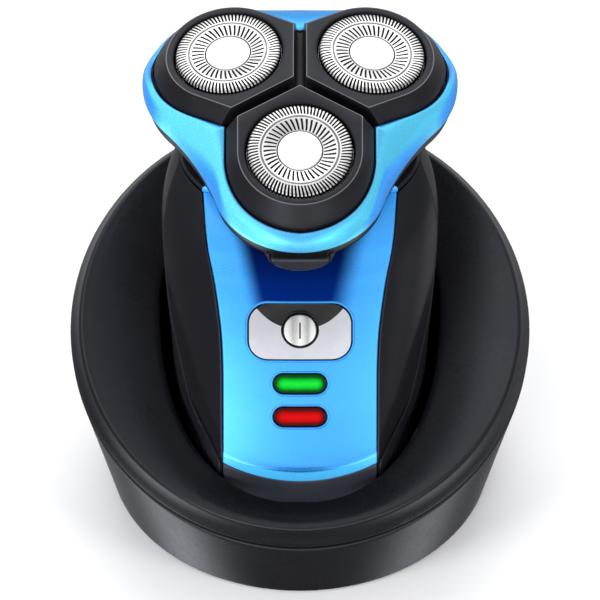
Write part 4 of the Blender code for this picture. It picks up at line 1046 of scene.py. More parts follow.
F_TRIM = S @ T(*mid) @ R(math.degrees(math.atan2(d[2], d[1])), "X")
settle("power_button_cap", me, "power_button", F_TRIM, ("power_button",), 30)
b = Build()
b.rings(outline_rings(rounded_rect(0.34, 3.86, 0.165, 6, edge=2), [(0, 0.60), (0, 0.665)]), cap=(True, True))
b.make("power_button_mark", "cup", "power_button", F_TRIM, angle=30)
# dark well round the button
b = Build()
ringp = [(4.28, 0.20), (4.22, 0.24), (4.12, 0.22), (4.08, 0.1), (4.06, -1.2), (4.28, -1.2)]
b.rings([[(r * math.cos(2 * pi * k / N_B), r * math.sin(2 * pi * k / N_B), z) for k in range(N_B)] for r, z in ringp], loop=True)
b.make("button_well", "cup", "handle", F_TRIM, angle=40)

# ----------------------------------------------------------------------------- indicator lenses
for tag, z0, node in (("green", LED_GREEN_Z, "led_lens_green"), ("red", LED_RED_Z, "led_lens_red")):
    b = Build()
    prof = [(-0.02, -1.4), (-0.02, -0.12), (-0.07, -0.02), (-0.18, 0.05), (-0.45, 0.10), (-0.9, 0.14), (-1.4, 0.16), (-1.9, 0.17)]
    b.rings(outline_rings(pill_line, prof), cap=(True, False))
    last = outline_rings(pill_line, [(-1.9, 0.17)])[0]
    b.cap(last)
    bent_build(b, z0, f"{node}_pill", tag, "handle", (node,), 50)

# ----------------------------------------------------------------------------- chin under the panel
ts = [0, 0.012, 0.04, 0.1, 0.2, 0.35, 0.5, 0.65, 0.8, 0.9, 0.96, 0.988, 1.0]
tau, srel = np.meshgrid(ts, xs_rel, indexing="ij")
top_z = panel_foot(srel) - 0.28
zc = 5.95 + (top_z - 5.95) * tau
xb = station(np.clip(zc, 6, 84))[2]
P = place(*casing("front", srel * (1 - 0.15 / xb), zc), zc)
N = normals(P, from_axis)
side_d = (1 - np.abs(srel)) * xb
sink = roll(side_d, 0.3) + roll((top_z - zc), 0.25) + 0.35 * np.clip((zc - (top_z - 4)) / 4, 0, 1) ** 1.5
b = Build()
b.shell(P - N * sink[:, :, None], P - N * (SHELL + 0.4))
b.make("chin_skin", "chin", "handle", S, ("chin_panel",), 42)

# ----------------------------------------------------------------------------- side panels
side_zs = np.concatenate([19.2 + np.array(edge_steps(0.5)), np.linspace(20.2, 82.9, 84), 84 - np.array(edge_steps(0.5))[::-1]])
for sign, side in ((1, "right"), (-1, "left")):
    grid, dist = [], []
    for z in side_zs:
        x, e, d0, d1 = along("side", z, 0.16, 0.16, 22, 0.3, 0.42)
        grid.append(place(sign * x, e, z))
        dist.append(roll(d0, 0.3) + roll(d1, 0.22))
    P = np.array(grid)
    N = normals(P, from_axis)
    dz = np.minimum((side_zs - side_zs[0]) * 1.0, (side_zs[-1] - side_zs) * 0.9)
    sink = np.array(dist) + roll(dz, 0.4)[:, None]
    b = Build()
    b.shell(P - N * sink[:, :, None], P - N * SHELL)
    b.make(f"side_panel_{side}_skin", "gloss", "handle", S, (f"side_panel_{side}",), 42)

# ----------------------------------------------------------------------------- rear shell with its ribbed grip
rear_zs = np.concatenate([6.0 + np.array(edge_steps(0.5)), np.linspace(7.0, 82.9, 150), 84 - np.array(edge_steps(0.5))[::-1]])
grid, dist, arc, zz = [], [], [], []
for z in rear_zs:
    x, e, d0, d1 = along("rear", z, 0.16, 0.0, 90, 0.42, 0.01)
    x, e, d0 = x[:-5], e[:-5], d0[:-5]
    x = np.append(x, 0.0)
    e = np.append(e, casing("rear", 1.0, z)[1])
    full = d0[-1] + (d0[-1] - d0[-2])
    d0 = np.append(d0, full)
    grid.append(np.concatenate([place(x, e, z), place(-x[:-1][::-1], e[:-1][::-1], z)]))
    dist.append(np.concatenate([roll(d0, 0.22), roll(d0[:-1], 0.22)[::-1]]))
    arc.append(np.concatenate([d0, d0[:-1][::-1]]))
P = np.array(grid)
arc = np.array(arc)
N = normals(P, from_axis)
zz = np.broadcast_to(rear_zs[:, None], arc.shape)
dz = np.minimum(rear_zs - rear_zs[0], (rear_zs[-1] - rear_zs) * 0.9)


def grooves(u, width=0.34):
    """Narrow channels at whole numbers of u; 0 between, 1 at the bottom of a channel."""
    d = np.abs(u - np.round(u))
    return np.clip(1 - d / width, 0, 1) ** 1.2


# side grip: channels nearly parallel to the crease, in a patch that tapers upwards
lead = arc - (2.6 + (zz - 12) * 0.055)
patch = smooth((lead + 0.2) / 0.6) * smooth((7.4 - lead) / 0.8) * smooth((zz - 11.5 - 0.42 * lead) / 1.2) * smooth((31 - zz + 1.2 * lead) / 2.5)
ribs = 0.30 * grooves(lead / 0.95 + 0.5, 0.30) * patch
# back grip: level channels between the sides, from low on the back to two thirds of the height
half = arc.max(axis=1)[:, None]
across = arc / half
back = smooth((across - 0.47) / 0.05) * smooth((zz - 14) / 2) * smooth((66 - zz) / 2)
ribs = ribs + 0.34 * grooves((zz + 5.0 * np.cos((across - 1) * pi) * 0.6) / 2.4, 0.22) * back
sink = np.array(dist) + roll(dz, 0.4)[:, None] + ribs
b = Build()
b.shell(P - N * sink[:, :, None], P - N * SHELL)
b.make("rear_shell_skin", "rear", "handle", S, ("rear_shell",), 42)

# ----------------------------------------------------------------------------- handle foot and neck collar


def outline_at(z, n_front=16, n_side=12, n_rear=48):
    half = [casing("front", k / n_front, z) for k in range(n_front)]
    half += [casing("side", k / n_side, z) for k in range(n_side)]
    half += [casing("rear", k / n_rear, z) for k in range(n_rear + 1)]
    half = [(float(x), float(e)) for x, e in half]
    return half + [(-x, e) for x, e in reversed(half[1:-1])]


def polar(points, a, centre=(0.0, 0.0)):
    dx, de = math.sin(a), math.cos(a)
    best = 0.0
    for (x0, e0), (x1, e1) in zip(points, points[1:] + points[:1]):
        x0, x1, e0, e1 = x0 - centre[0], x1 - centre[0], e0 - centre[1], e1 - centre[1]
        den = dx * (e1 - e0) - de * (x1 - x0)
        if abs(den) < 1e-12:
            continue
        r = (x0 * (e1 - e0) - e0 * (x1 - x0)) / den
        u = (x0 * de - e0 * dx) / den
        if r > 0 and -1e-9 <= u <= 1 + 1e-9:
            best = max(best, r)
    return best


foot = [(x * 0.97, e * 0.97) for x, e in outline_at(6.0)]
b = Build()
foot_prof = [(0.80, 5.0), (0.86, 4.86), (0.92, 4.84), (0.97, 4.95), (0.995, 5.15), (1.0, 5.35), (1.0, 5.7)]
b.rings([[(x * k, -e * k, z) for x, e in foot] for k, z in foot_prof], cap=(True, True))
pts = np.concatenate(b.v)
me = bpy.data.meshes.new("foot")
me.from_pydata(pts.tolist(), [], b.f)
bm = bmesh.new()
bm.from_mesh(me)
bmesh.ops.remove_doubles(bm, verts=bm.verts, dist=0.0008)
bmesh.ops.recalc_face_normals(bm, faces=bm.faces)
cuts = []
for sx in (5.0, -5.0):
    cuts.append(("BOOLEAN", {"operation": "DIFFERENCE", "solver": "EXACT", "object": prism_bm([(x + sx, y - 2.0) for x, y in disc_outline(1.9, n=48)], 3, 8)}))
settle("bottom_cap_skin", cooked(bm, cuts, "satin"), "handle", S, ("bottom_cap",), 30)
for sx, side in ((5.0, "right"), (-5.0, "left")):
    b = Build()
    prof = [(1.62, 7.4), (1.62, 5.15), (1.55, 5.0), (1.4, 4.9), (1.1, 4.9), (0.95, 5.0), (0.5, 5.12), (0.1, 5.15)]
    b.rings([[(sx + r * math.cos(2 * pi * k / 48), -2.0 + r * math.sin(2 * pi * k / 48), z) for k in range(48)] for r, z in prof], cap=(True, True))
    b.make(f"charge_contact_{side}_cup", "brass", "handle", S, (f"charge_contact_{side}",), 30)

NECK_A, NECK_B, NECK_G, SHOULDER_H = 15.5, 12.0, -1.5, -25.4
top_line = outline_at(84.0)
N_COL = 144
_rtop = [polar(top_line, 2 * pi * i / N_COL, (0.0, -1.5)) for i in range(N_COL)]


def head_local(x, g, h):
    return (x, -g, h)


def collar(k, h, inset=0.0):
    out = []
    for i in range(N_COL):
        a = 2 * pi * i / N_COL
        r1 = 1 / math.hypot(math.sin(a) / NECK_A, math.cos(a) / NECK_B)
        r = _rtop[i] + (r1 - _rtop[i]) * k - inset
        out.append(head_local(r * math.sin(a), NECK_G + r * math.cos(a), h))
    return out


def collar_arc(k, h, inset, idx):
    ring = collar(k, h, inset)
    return [ring[i % N_COL] for i in idx]


slope = [(0.03, 0.46, 0), (0.10, 0.72, 0), (0.25, 1.05, 0), (0.5, 1.4, 0), (0.75, 1.72, 0), (0.9, 1.98, 0), (0.97, 2.3, 0), (1.0, 2.8, 0), (1.0, 3.6, 0)]
front_slope = [(0.0, 0.6, 0), (0.0, 0.95, 0), (0.02, 1.25, 0), (0.08, 1.5, 0), (0.25, 1.75, 0), (0.5, 1.98, 0), (0.75, 2.2, 0), (0.9, 2.4, 0), (0.97, 2.6, 0), (1.0, 2.9, 0), (1.0, 3.6, 0)]
for piece, idx, edge_prof, key, slot_name in (
    ("neck_collar_skin", range(25, N_COL - 24), [(0.0, 0.02, 0.30), (0.0, 0.12, 0.14), (0.0, 0.28, 0.04)], "gloss", "satin_black"),
    ("neck_collar_front", range(-25, 26), [(0.0, 0.0, 0.0), (0.0, 0.1, 0.0), (0.0, 0.28, 0.0)], "blue_collar", "metallic_blue"),
):
    idx = list(idx)
    prof = edge_prof + (front_slope if key == "blue_collar" else slope)
    b = Build()
    b.shell([collar_arc(k, SHOULDER_H + h, i, idx) for k, h, i in prof], [collar_arc(k, SHOULDER_H + h - 0.9, i + 0.9, idx) for k, h, i in prof])
    b.make(piece, key, "handle", H, ("neck_collar",) if key == "gloss" else (), angle=42)


# ----------------------------------------------------------------------------- head outlines
def lobed(a, r, waist, rho=RHO):
    a = abs((a + pi / 3) % (2 * pi / 3) - pi / 3)
    q = r - waist
    d = (rho**2 - q**2) / (rho + 2 * q)
    f = d - waist
    cf = (d * math.sin(pi / 3), d * math.cos(pi / 3))
    k = r / (r + f)
    tx, tg = cf[0] * k, rho + (cf[1] - rho) * k
    if a <= math.atan2(tx, tg):
        return rho * math.cos(a) + math.sqrt(max(r * r - (rho * math.sin(a)) ** 2, 0))
    bb = pi / 3 - a
    return d * math.cos(bb) - math.sqrt(max(f * f - (d * math.sin(bb)) ** 2, 0))


N_H = 288
HA = [2 * pi * i / N_H for i in range(N_H)]


def head_ring(radius_of, height_of):
    return [(radius_of(a) * math.sin(a), -radius_of(a) * math.cos(a), height_of(a)) for a in HA]


def fold(a):
    return abs((a + pi / 3) % (2 * pi / 3) - pi / 3)


U_W, U_F = 16.95, 17.85
_u = [(U_W * math.sin(f), RHO - 0.5 + U_F * math.cos(f)) for f in np.linspace(0, pi / 2, 60)]
_u += [(U_W, g) for g in np.linspace(RHO - 0.5, U_W / math.tan(pi / 3), 30)[1:]]
_ua = [math.atan2(x, g) for x, g in _u]
_ur = [math.hypot(x, g) for x, g in _u]


def skirt_inner(a):
    return float(np.interp(fold(a), _ua, _ur))


_hh_x = np.array([0, 0.283, 0.64, 1])
_hh_y = np.array([-2.3, -3.8, -6.45, -7.6])


def skirt_inner_h(a):
    return float(hermite(_hh_x, _hh_y, 1 - fold(a) / (pi / 3)))




def rear_drop(a):
    """The skirt dips round the outer sides of the two rear units."""
    d = math.degrees(min(a, 2 * pi - a))
    return 2.3 * float(smooth((d - 99) / 16))


def skirt_outer(a):
    """Lobed plan, a little tighter at the sides and drawn straight across the back."""
    d = math.degrees(min(a, 2 * pi - a))
    r = lobed(a, SKIRT_R, SKIRT_WAIST) - 0.6 * math.exp(-(((d - 102) / 26) ** 2))
    r -= 0.8 * float(smooth((d - 108) / 14)) * (1 - float(smooth((d - 146) / 12)))
    back = 180 - d
    if back < 34:
        flat_r = 29.3 / math.cos(math.radians(back))
        r += max(0.0, flat_r - r) * (1 - float(smooth((back - 22) / 12)))
    return r


_so = {a: skirt_outer(a) for a in HA}
_sk = {a: (skirt_inner(a), _so[a], skirt_inner_h(a) - rear_drop(a)) for a in HA}


def skirt_ring(psi, out=0.0, drop=0.0):
    c, s = math.cos(psi), math.sin(psi)
    return head_ring(lambda a: _sk[a][0] + (_sk[a][1] - _sk[a][0]) * s + out, lambda a: SKIRT_H + (_sk[a][2] - SKIRT_H) * c + drop)


rings = [skirt_ring(0, 0.02, -0.30), skirt_ring(0, 0.05, -0.12), skirt_ring(0.05, 0.06, -0.03)]
rings += [skirt_ring(math.radians(p)) for p in (8, 13, 19, 25, 31, 37, 43, 49, 55, 61, 67, 73, 79, 84, 88, 90)]
rings += [
    head_ring(lambda a: _sk[a][1] - 0.01, lambda a: SKIRT_H - 0.3),
    head_ring(lambda a: _sk[a][1] - 0.05, lambda a: SEAM_H + 0.28),
    head_ring(lambda a: _sk[a][1] - 0.16, lambda a: SEAM_H + 0.08),
    head_ring(lambda a: _sk[a][1] - 0.36, lambda a: SEAM_H),
    head_ring(lambda a: _sk[a][1] - 1.9, lambda a: SEAM_H),
    head_ring(lambda a: _sk[a][0] + 0.05, lambda a: _sk[a][2] - 1.5),
]
b = Build()
b.rings(rings, loop=True)
pts = np.concatenate(b.v)
me = bpy.data.meshes.new("skirt")
me.from_pydata(pts.tolist(), [], b.f)
bm = bmesh.new()
bm.from_mesh(me)
bmesh.ops.remove_doubles(bm, verts=bm.verts, dist=0.0008)
bmesh.ops.recalc_face_normals(bm, faces=bm.faces)


def barrel_bm(x0, x1, r, n=40, g=HINGE_G, h=HINGE_H):
    c = bmesh.new()
    bmesh.ops.create_cone(c, cap_ends=True, segments=n, radius1=r, radius2=r, depth=x1 - x0)
    bmesh.ops.rotate(c, verts=c.verts, cent=(0, 0, 0), matrix=Matrix.Rotation(pi / 2, 3, "Y"))
    bmesh.ops.translate(c, vec=((x0 + x1) / 2, -g, h), verts=c.verts)
    return c


cuts = [("BOOLEAN", {"operation": "DIFFERENCE", "solver": "EXACT", "object": barrel_bm(x0, x1, 2.42)}) for x0, x1 in ((3.7, 8.7), (-8.7, -3.7))]
settle("head_skirt_skin", cooked(bm, cuts, "blue_skirt"), "head", H, ("head_skirt",), 40)

# black liner inside the skirt, seen as the thin dark line round the units, and the Y web between them
rings = [
    head_ring(lambda a: _sk[a][0] - 0.02, lambda a: _sk[a][2] - 0.16),
    head_ring(lambda a: _sk[a][0] - 0.34, lambda a: _sk[a][2] - 0.30),
    head_ring(lambda a: _sk[a][0] - 0.38, lambda a: _sk[a][2] - 1.2),
    head_ring(lambda a: _sk[a][0] - 0.38, lambda a: min(_sk[a][2] - 1.4, -8.8)),
    head_ring(lambda a: _sk[a][0] - 0.02, lambda a: min(_sk[a][2] - 1.4, -8.8)),
]
b = Build()
b.rings(rings, loop=True)
b.make("skirt_liner", "unit", "head", H, angle=35)

WEB_TOP = -0.95


def web_height(r):
    return WEB_TOP - 0.215 * r


b = Build()
for k in range(3):
    a = pi / 3 + k * 2 * pi / 3
    dr = (math.sin(a), -math.cos(a))
    nn = (-dr[1], dr[0])
    cross = [(-0.95, -8.5), (-0.95, -0.34), (-0.88, -0.10), (-0.70, 0.0), (0.70, 0.0), (0.88, -0.10), (0.95, -0.34), (0.95, -8.5)]
    rows = []
    for r in np.linspace(-0.3, 21.5, 24):
        rows.append([(dr[0] * r + nn[0] * o, dr[1] * r + nn[1] * o, (web_height(abs(r)) + w) if w > -5 else -8.8) for o, w in cross])
    b.rings(rows, cap=(True, True))
b.make("head_web", "web", "head", H, angle=35)
# floor under the units closes the view into the gearbox
b = Build()
fl = lambda z, k: [(k * min(_sk[a][0], 36) * math.sin(a), -k * min(_sk[a][0], 36) * math.cos(a), z) for a in HA]
hole = []
b.rings([fl(-10.3, 0.975), fl(-10.3, 0.6), fl(-10.3, 0.02), fl(-10.8, 0.02), fl(-10.8, 0.975)], loop=True)
pts = np.concatenate(b.v)
me = bpy.data.meshes.new("floor")
me.from_pydata(pts.tolist(), [], b.f)
bm = bmesh.new()
bm.from_mesh(me)
bmesh.ops.remove_doubles(bm, verts=bm.verts, dist=0.0008)
bmesh.ops.recalc_face_normals(bm, faces=bm.faces)
cuts = []
for name, az in UNIT_AZ.items():
    a = math.radians(az)
    cuts.append(("BOOLEAN", {"operation": "DIFFERENCE", "solver": "EXACT", "object": prism_bm(disc_outline(11.6, (RHO - 0.9) * math.sin(a), -(RHO - 0.9) * math.cos(a), 64), -12, -6)}))
settle("unit_tray", cooked(bm, cuts, "dark"), "head", H, (), 35)

# lower shell of the head
LV = np.array([(-12.35, 0.975, 0.0), (-13.6, 0.974, 0.0), (-15.0, 0.968, 0.0), (-16.3, 0.945, 0.0), (-17.5, 0.895, 0.02), (-18.7, 0.82, 0.10), (-19.6, 0.72, 0.25), (-20.4, 0.635, 0.45), (-21.0, 0.56, 0.68), (-21.35, 0.505, 0.86), (-21.6, 0.46, 1.0)])
_lob = dict(_so)


def base_radius(a, k, c, inset=0.0):
    neck = 1 / math.hypot(math.sin(a) / 15.9, math.cos(a) / 12.4)
    return k * _lob[a] * (1 - c) + neck * c - inset


hs = -12.35 - (21.6 - 12.35) * (1 - np.cos(np.linspace(0, pi / 2, 26)))
lv = [(h, float(hermite(-LV[:, 0], LV[:, 1], -h)), float(hermite(-LV[:, 0], LV[:, 2], -h))) for h in hs]
rings = [head_ring(lambda a: base_radius(a, 0.975, 0, 0.4), lambda a: -12.3), head_ring(lambda a: base_radius(a, 0.975, 0, 0.12), lambda a: -12.38), head_ring(lambda a: base_radius(a, 0.975, 0, 0.02), lambda a: -12.62)]
rings += [head_ring(lambda a, k=k, c=c: base_radius(a, k, c), lambda a, h=h: h) for h, k, c in lv[3:]]
rings.append(head_ring(lambda a: 3.0, lambda a: -21.6))
rings.append(head_ring(lambda a: 3.0, lambda a: -19.9))
rings.append(head_ring(lambda a: base_radius(a, 0.52, 0.6), lambda a: -19.5))
rings.append(head_ring(lambda a: base_radius(a, 0.7, 0.25, 1.7), lambda a: -18.6))
rings.append(head_ring(lambda a: base_radius(a, 0.86, 0.05, 1.7), lambda a: -17.0))
rings.append(head_ring(lambda a: base_radius(a, 0.94, 0.0, 1.7), lambda a: -14.6))
rings.append(head_ring(lambda a: base_radius(a, 0.975, 0.0, 1.6), lambda a: -12.35))
b = Build()
b.rings(rings, loop=True)
pts = np.concatenate(b.v)
me = bpy.data.meshes.new("base")
me.from_pydata(pts.tolist(), [], b.f)
bm = bmesh.new()
bm.from_mesh(me)
bmesh.ops.remove_doubles(bm, verts=bm.verts, dist=0.0008)
bmesh.ops.recalc_face_normals(bm, faces=bm.faces)


cuts = [
    ("BOOLEAN", {"operation": "DIFFERENCE", "solver": "EXACT", "object": barrel_bm(-4.0, 4.0, 2.42)}),
]
settle("head_base_skin", cooked(bm, cuts, "satin"), "handle", H, ("head_base",), 40)

# hinge knuckles with their gussets, and the pin with domed ends
for tag, x0, x1, body, zg in (("mid", -3.6, 3.6, "head", (-12.0, -9.6)), ("left", -8.3, -4.1, "handle", (-14.8, -12.7)), ("right", 4.1, 8.3, "handle", (-14.8, -12.7))):
    b = Build()
    ring = lambda x, r: [(x, -HINGE_G + r * math.cos(2 * pi * k / 48), HINGE_H + r * math.sin(2 * pi * k / 48)) for k in range(48)]
    b.rings([ring(x0 + 0.0, 1.12), ring(x0, 1.72), ring(x0 + 0.08, 1.9), ring(x0 + 0.28, 2.0), ring(x1 - 0.28, 2.0), ring(x1 - 0.08, 1.9), ring(x1, 1.72), ring(x1, 1.12)], loop=True)
    b.make(f"hinge_knuckle_{tag}", "blue" if body == "head" else "satin", body, H, angle=35)
    g0, g1 = (25.9, 28.9) if body == "head" else (24.6, 28.6)
    c = bmesh.new()
    bmesh.ops.create_cube(c, size=1.0)
    bmesh.ops.scale(c, vec=(x1 - x0 - 0.5, g1 - g0, zg[1] - zg[0]), verts=c.verts)
    bmesh.ops.translate(c, vec=((x0 + x1) / 2, (g0 + g1) / 2, (zg[0] + zg[1]) / 2), verts=c.verts)
    me = cooked(c, [("BEVEL", {"width": 0.4, "segments": 3, "limit_method": "NONE"})], "blue" if body == "head" else "satin")
    settle(f"hinge_gusset_{tag}", me, body, H, (), 40)
b = Build()
ring = lambda x, r: [(x, -HINGE_G + r * math.cos(2 * pi * k / 40), HINGE_H + r * math.sin(2 * pi * k / 40)) for k in range(40)]
b.rings([ring(-8.75, 0.3), ring(-8.72, 0.7), ring(-8.55, 0.95), ring(-8.3, 1.0), ring(8.3, 1.0), ring(8.55, 0.95), ring(8.72, 0.7), ring(8.75, 0.3)], cap=(True, True))
b.make("hinge_pin_bright", "steel", "handle", H, ("hinge_pin",), 35)

# release tab: a half-moon lever in a raised surround
b = Build()


def moon(r, depth, y, top_z, n=30):
    arc_pts = [(r * math.cos(pi * k / n), y, top_z - depth * math.sin(pi * k / n)) for k in range(n + 1)]
    flat = [(-r + 2 * r * k / n, y, top_z) for k in range(1, n)]
    return arc_pts + flat


TAB_Z = -15.35
b.rings(
    [
        moon(6.55, 4.25, -34.5, TAB_Z),
        moon(6.55, 4.25, -36.6, TAB_Z),
        moon(6.50, 4.20, -36.95, TAB_Z - 0.02),
        moon(6.34, 4.06, -37.22, TAB_Z - 0.08),
        moon(6.10, 3.84, -37.40, TAB_Z - 0.16),
        moon(5.70, 3.50, -37.50, TAB_Z - 0.26),
        moon(4.6, 2.6, -37.56, TAB_Z - 0.5),
        moon(2.6, 1.4, -37.58, TAB_Z - 0.9),
        moon(1.0, 0.5, -37.58, TAB_Z - 1.2),
    ],
    cap=(True, True),
)
b.make("release_tab", "tab", "release_button", H, ("release_button",), 35)
# raised U-shaped lip round the tab
b = Build()
lip_rows = []
for k in range(49):
    th = -0.10 + (pi + 0.20) * k / 48
    c, sn = math.cos(th), math.sin(th)
    lip_rows.append([((6.72 + o) * c, y, TAB_Z + 0.35 - (4.72 + o) * sn) for o, y in ((0.0, -33.0), (0.0, -36.3), (0.06, -36.6), (0.22, -36.75), (0.45, -36.72), (0.8, -36.3), (1.2, -35.4), (1.6, -33.0))])
b.rings(lip_rows, cap=(True, True))
b.make("release_surround", "satin", "handle", H, angle=40)
# dark finger slot over the tab, a near-black sheet as its painted shade
b = Build()


def slot_grid(lift):
    rows = []
    for h in np.linspace(-12.75, -15.9, 9):
        k = float(hermite(-LV[:, 0], LV[:, 1], -h))
        rows.append([(math.sin(v) * (k * 38.35 + lift), -math.cos(v) * (k * 38.35 + lift), h) for v in np.linspace(-0.172, 0.172, 21)])
    return rows


b.shell(slot_grid(0.10), slot_grid(-0.3))
b.make("release_slot_back", "slot", "handle", H, angle=40)

# ----------------------------------------------------------------------------- cutting units
WEDGE = RHO * math.sin(pi / 3) - GROOVE


def unit_outline(w, front, n_arc=40, n_side=6, n_wedge=14):
    corner = (0.5 * w - WEDGE) / math.sin(pi / 3)
    tip = -WEDGE / math.sin(pi / 3)
    half = [(w * math.sin(f), front * math.cos(f)) for f in np.linspace(0, pi / 2, n_arc)]
    half += [(w, corner * k / n_side) for k in range(1, n_side + 1)]
    half += [(w * (1 - k / n_wedge), corner + (tip - corner) * k / n_wedge) for k in range(1, n_wedge + 1)]
    return half + [(-x, g) for x, g in reversed(half[1:-1])]


flat = unit_outline(FLAT_W, FLAT_W)
bev = unit_outline(BEVEL_W, BEVEL_F)


def bevel_depth(x, g):
    return -(3.5 + 1.5 * max(0.0, g / math.hypot(x, g)))


def lerp2(a, b, k):
    return [(p[0] + (q[0] - p[0]) * k, p[1] + (q[1] - p[1]) * k) for p, q in zip(a, b)]


def circ(pts, r, z):
    return [(r * x / math.hypot(x, g), -r * g / math.hypot(x, g), z) for x, g in pts]


FOIL_PROFILE = [(5.0, 0.02), (5.45, 0.06), (6.4, 0.22), (7.4, 0.35), (8.2, 0.43), (9.3, 0.45), (10.4, 0.43), (11.1, 0.36), (11.5, 0.22), (11.75, -0.02), (11.88, -0.32), (11.92, -0.62)]


def foil_z(r):
    """Height of the foil's upper face: a cone up to the middle land, a level outer track and a rolled rim."""
    return float(np.interp(r, [p[0] for p in FOIL_PROFILE], [p[1] for p in FOIL_PROFILE]))


def foil_mesh(b):
    def ring(r, z, n=168):
        return [(r * math.cos(2 * pi * k / n), r * math.sin(2 * pi * k / n), z) for k in range(n)]

    # solid rings: cap seat, middle land with its groove, outer wall
    b.rings([ring(5.24, -0.6), ring(5.24, 0.0), ring(5.28, 0.04), ring(5.38, 0.05), ring(5.40, -0.6)], loop=True)
    b.rings([ring(8.16, -0.1), ring(8.16, 0.42), ring(8.30, 0.44), ring(8.50, 0.44), ring(8.62, 0.34), ring(8.76, 0.25), ring(8.90, 0.34), ring(9.02, 0.45), ring(9.18, 0.46), ring(9.32, 0.44), ring(9.32, -0.1)], loop=True)
    b.rings([ring(11.94, -1.25), ring(11.94, -3.15), ring(11.85, -3.2), ring(11.5, -3.2), ring(11.5, -1.25)], loop=True)

    # bars between the slots: bright on top, their flanks black as painted shade in the slots
    def bars(n, r0, duty, rs, phase=0.0, swirl=0.0):
        for k in range(n):
            rows = []
            for r in rs:
                wall_z = 11.92 < r
                rr = min(r, 11.93)
                w = duty(rr) * 2 * pi / n
                a = 2 * pi * (k + phase) / n + swirl * (rr - r0)
                top = -1.3 if wall_z else foil_z(rr)
                lowr = rr - (0.42 if rr > 11.6 else 0.0)
                sec = []
                for j in (-0.5, -0.40, 0.40, 0.5):
                    sec.append((rr * math.cos(a + j * w), rr * math.sin(a + j * w), top - (0.06 if abs(j) > 0.45 else 0)))
                for j in (0.5, -0.5):
                    sec.append((lowr * math.cos(a + j * w), lowr * math.sin(a + j * w), top - 0.42))
                rows.append(sec)
            base = b.points(rows)
            for i in range(len(rows) - 1):
                for j in range(6):
                    j2 = (j + 1) % 6
                    b.f.append((base + i * 6 + j, base + i * 6 + j2, base + (i + 1) * 6 + j2, base + (i + 1) * 6 + j))
                    b.m.append(0 if j < 3 else 1)

    bars(42, 5.45, lambda r: 0.56 + 0.10 * (r - 5.45) / 2.7, [5.28, 6.0, 6.7, 7.4, 8.2], 0.25, 0.028)
    bars(84, 9.3, lambda r: 0.50, [9.28, 10.1, 10.8, 11.3, 11.6, 11.8, 11.9, 11.93], 0.0, 0.016)


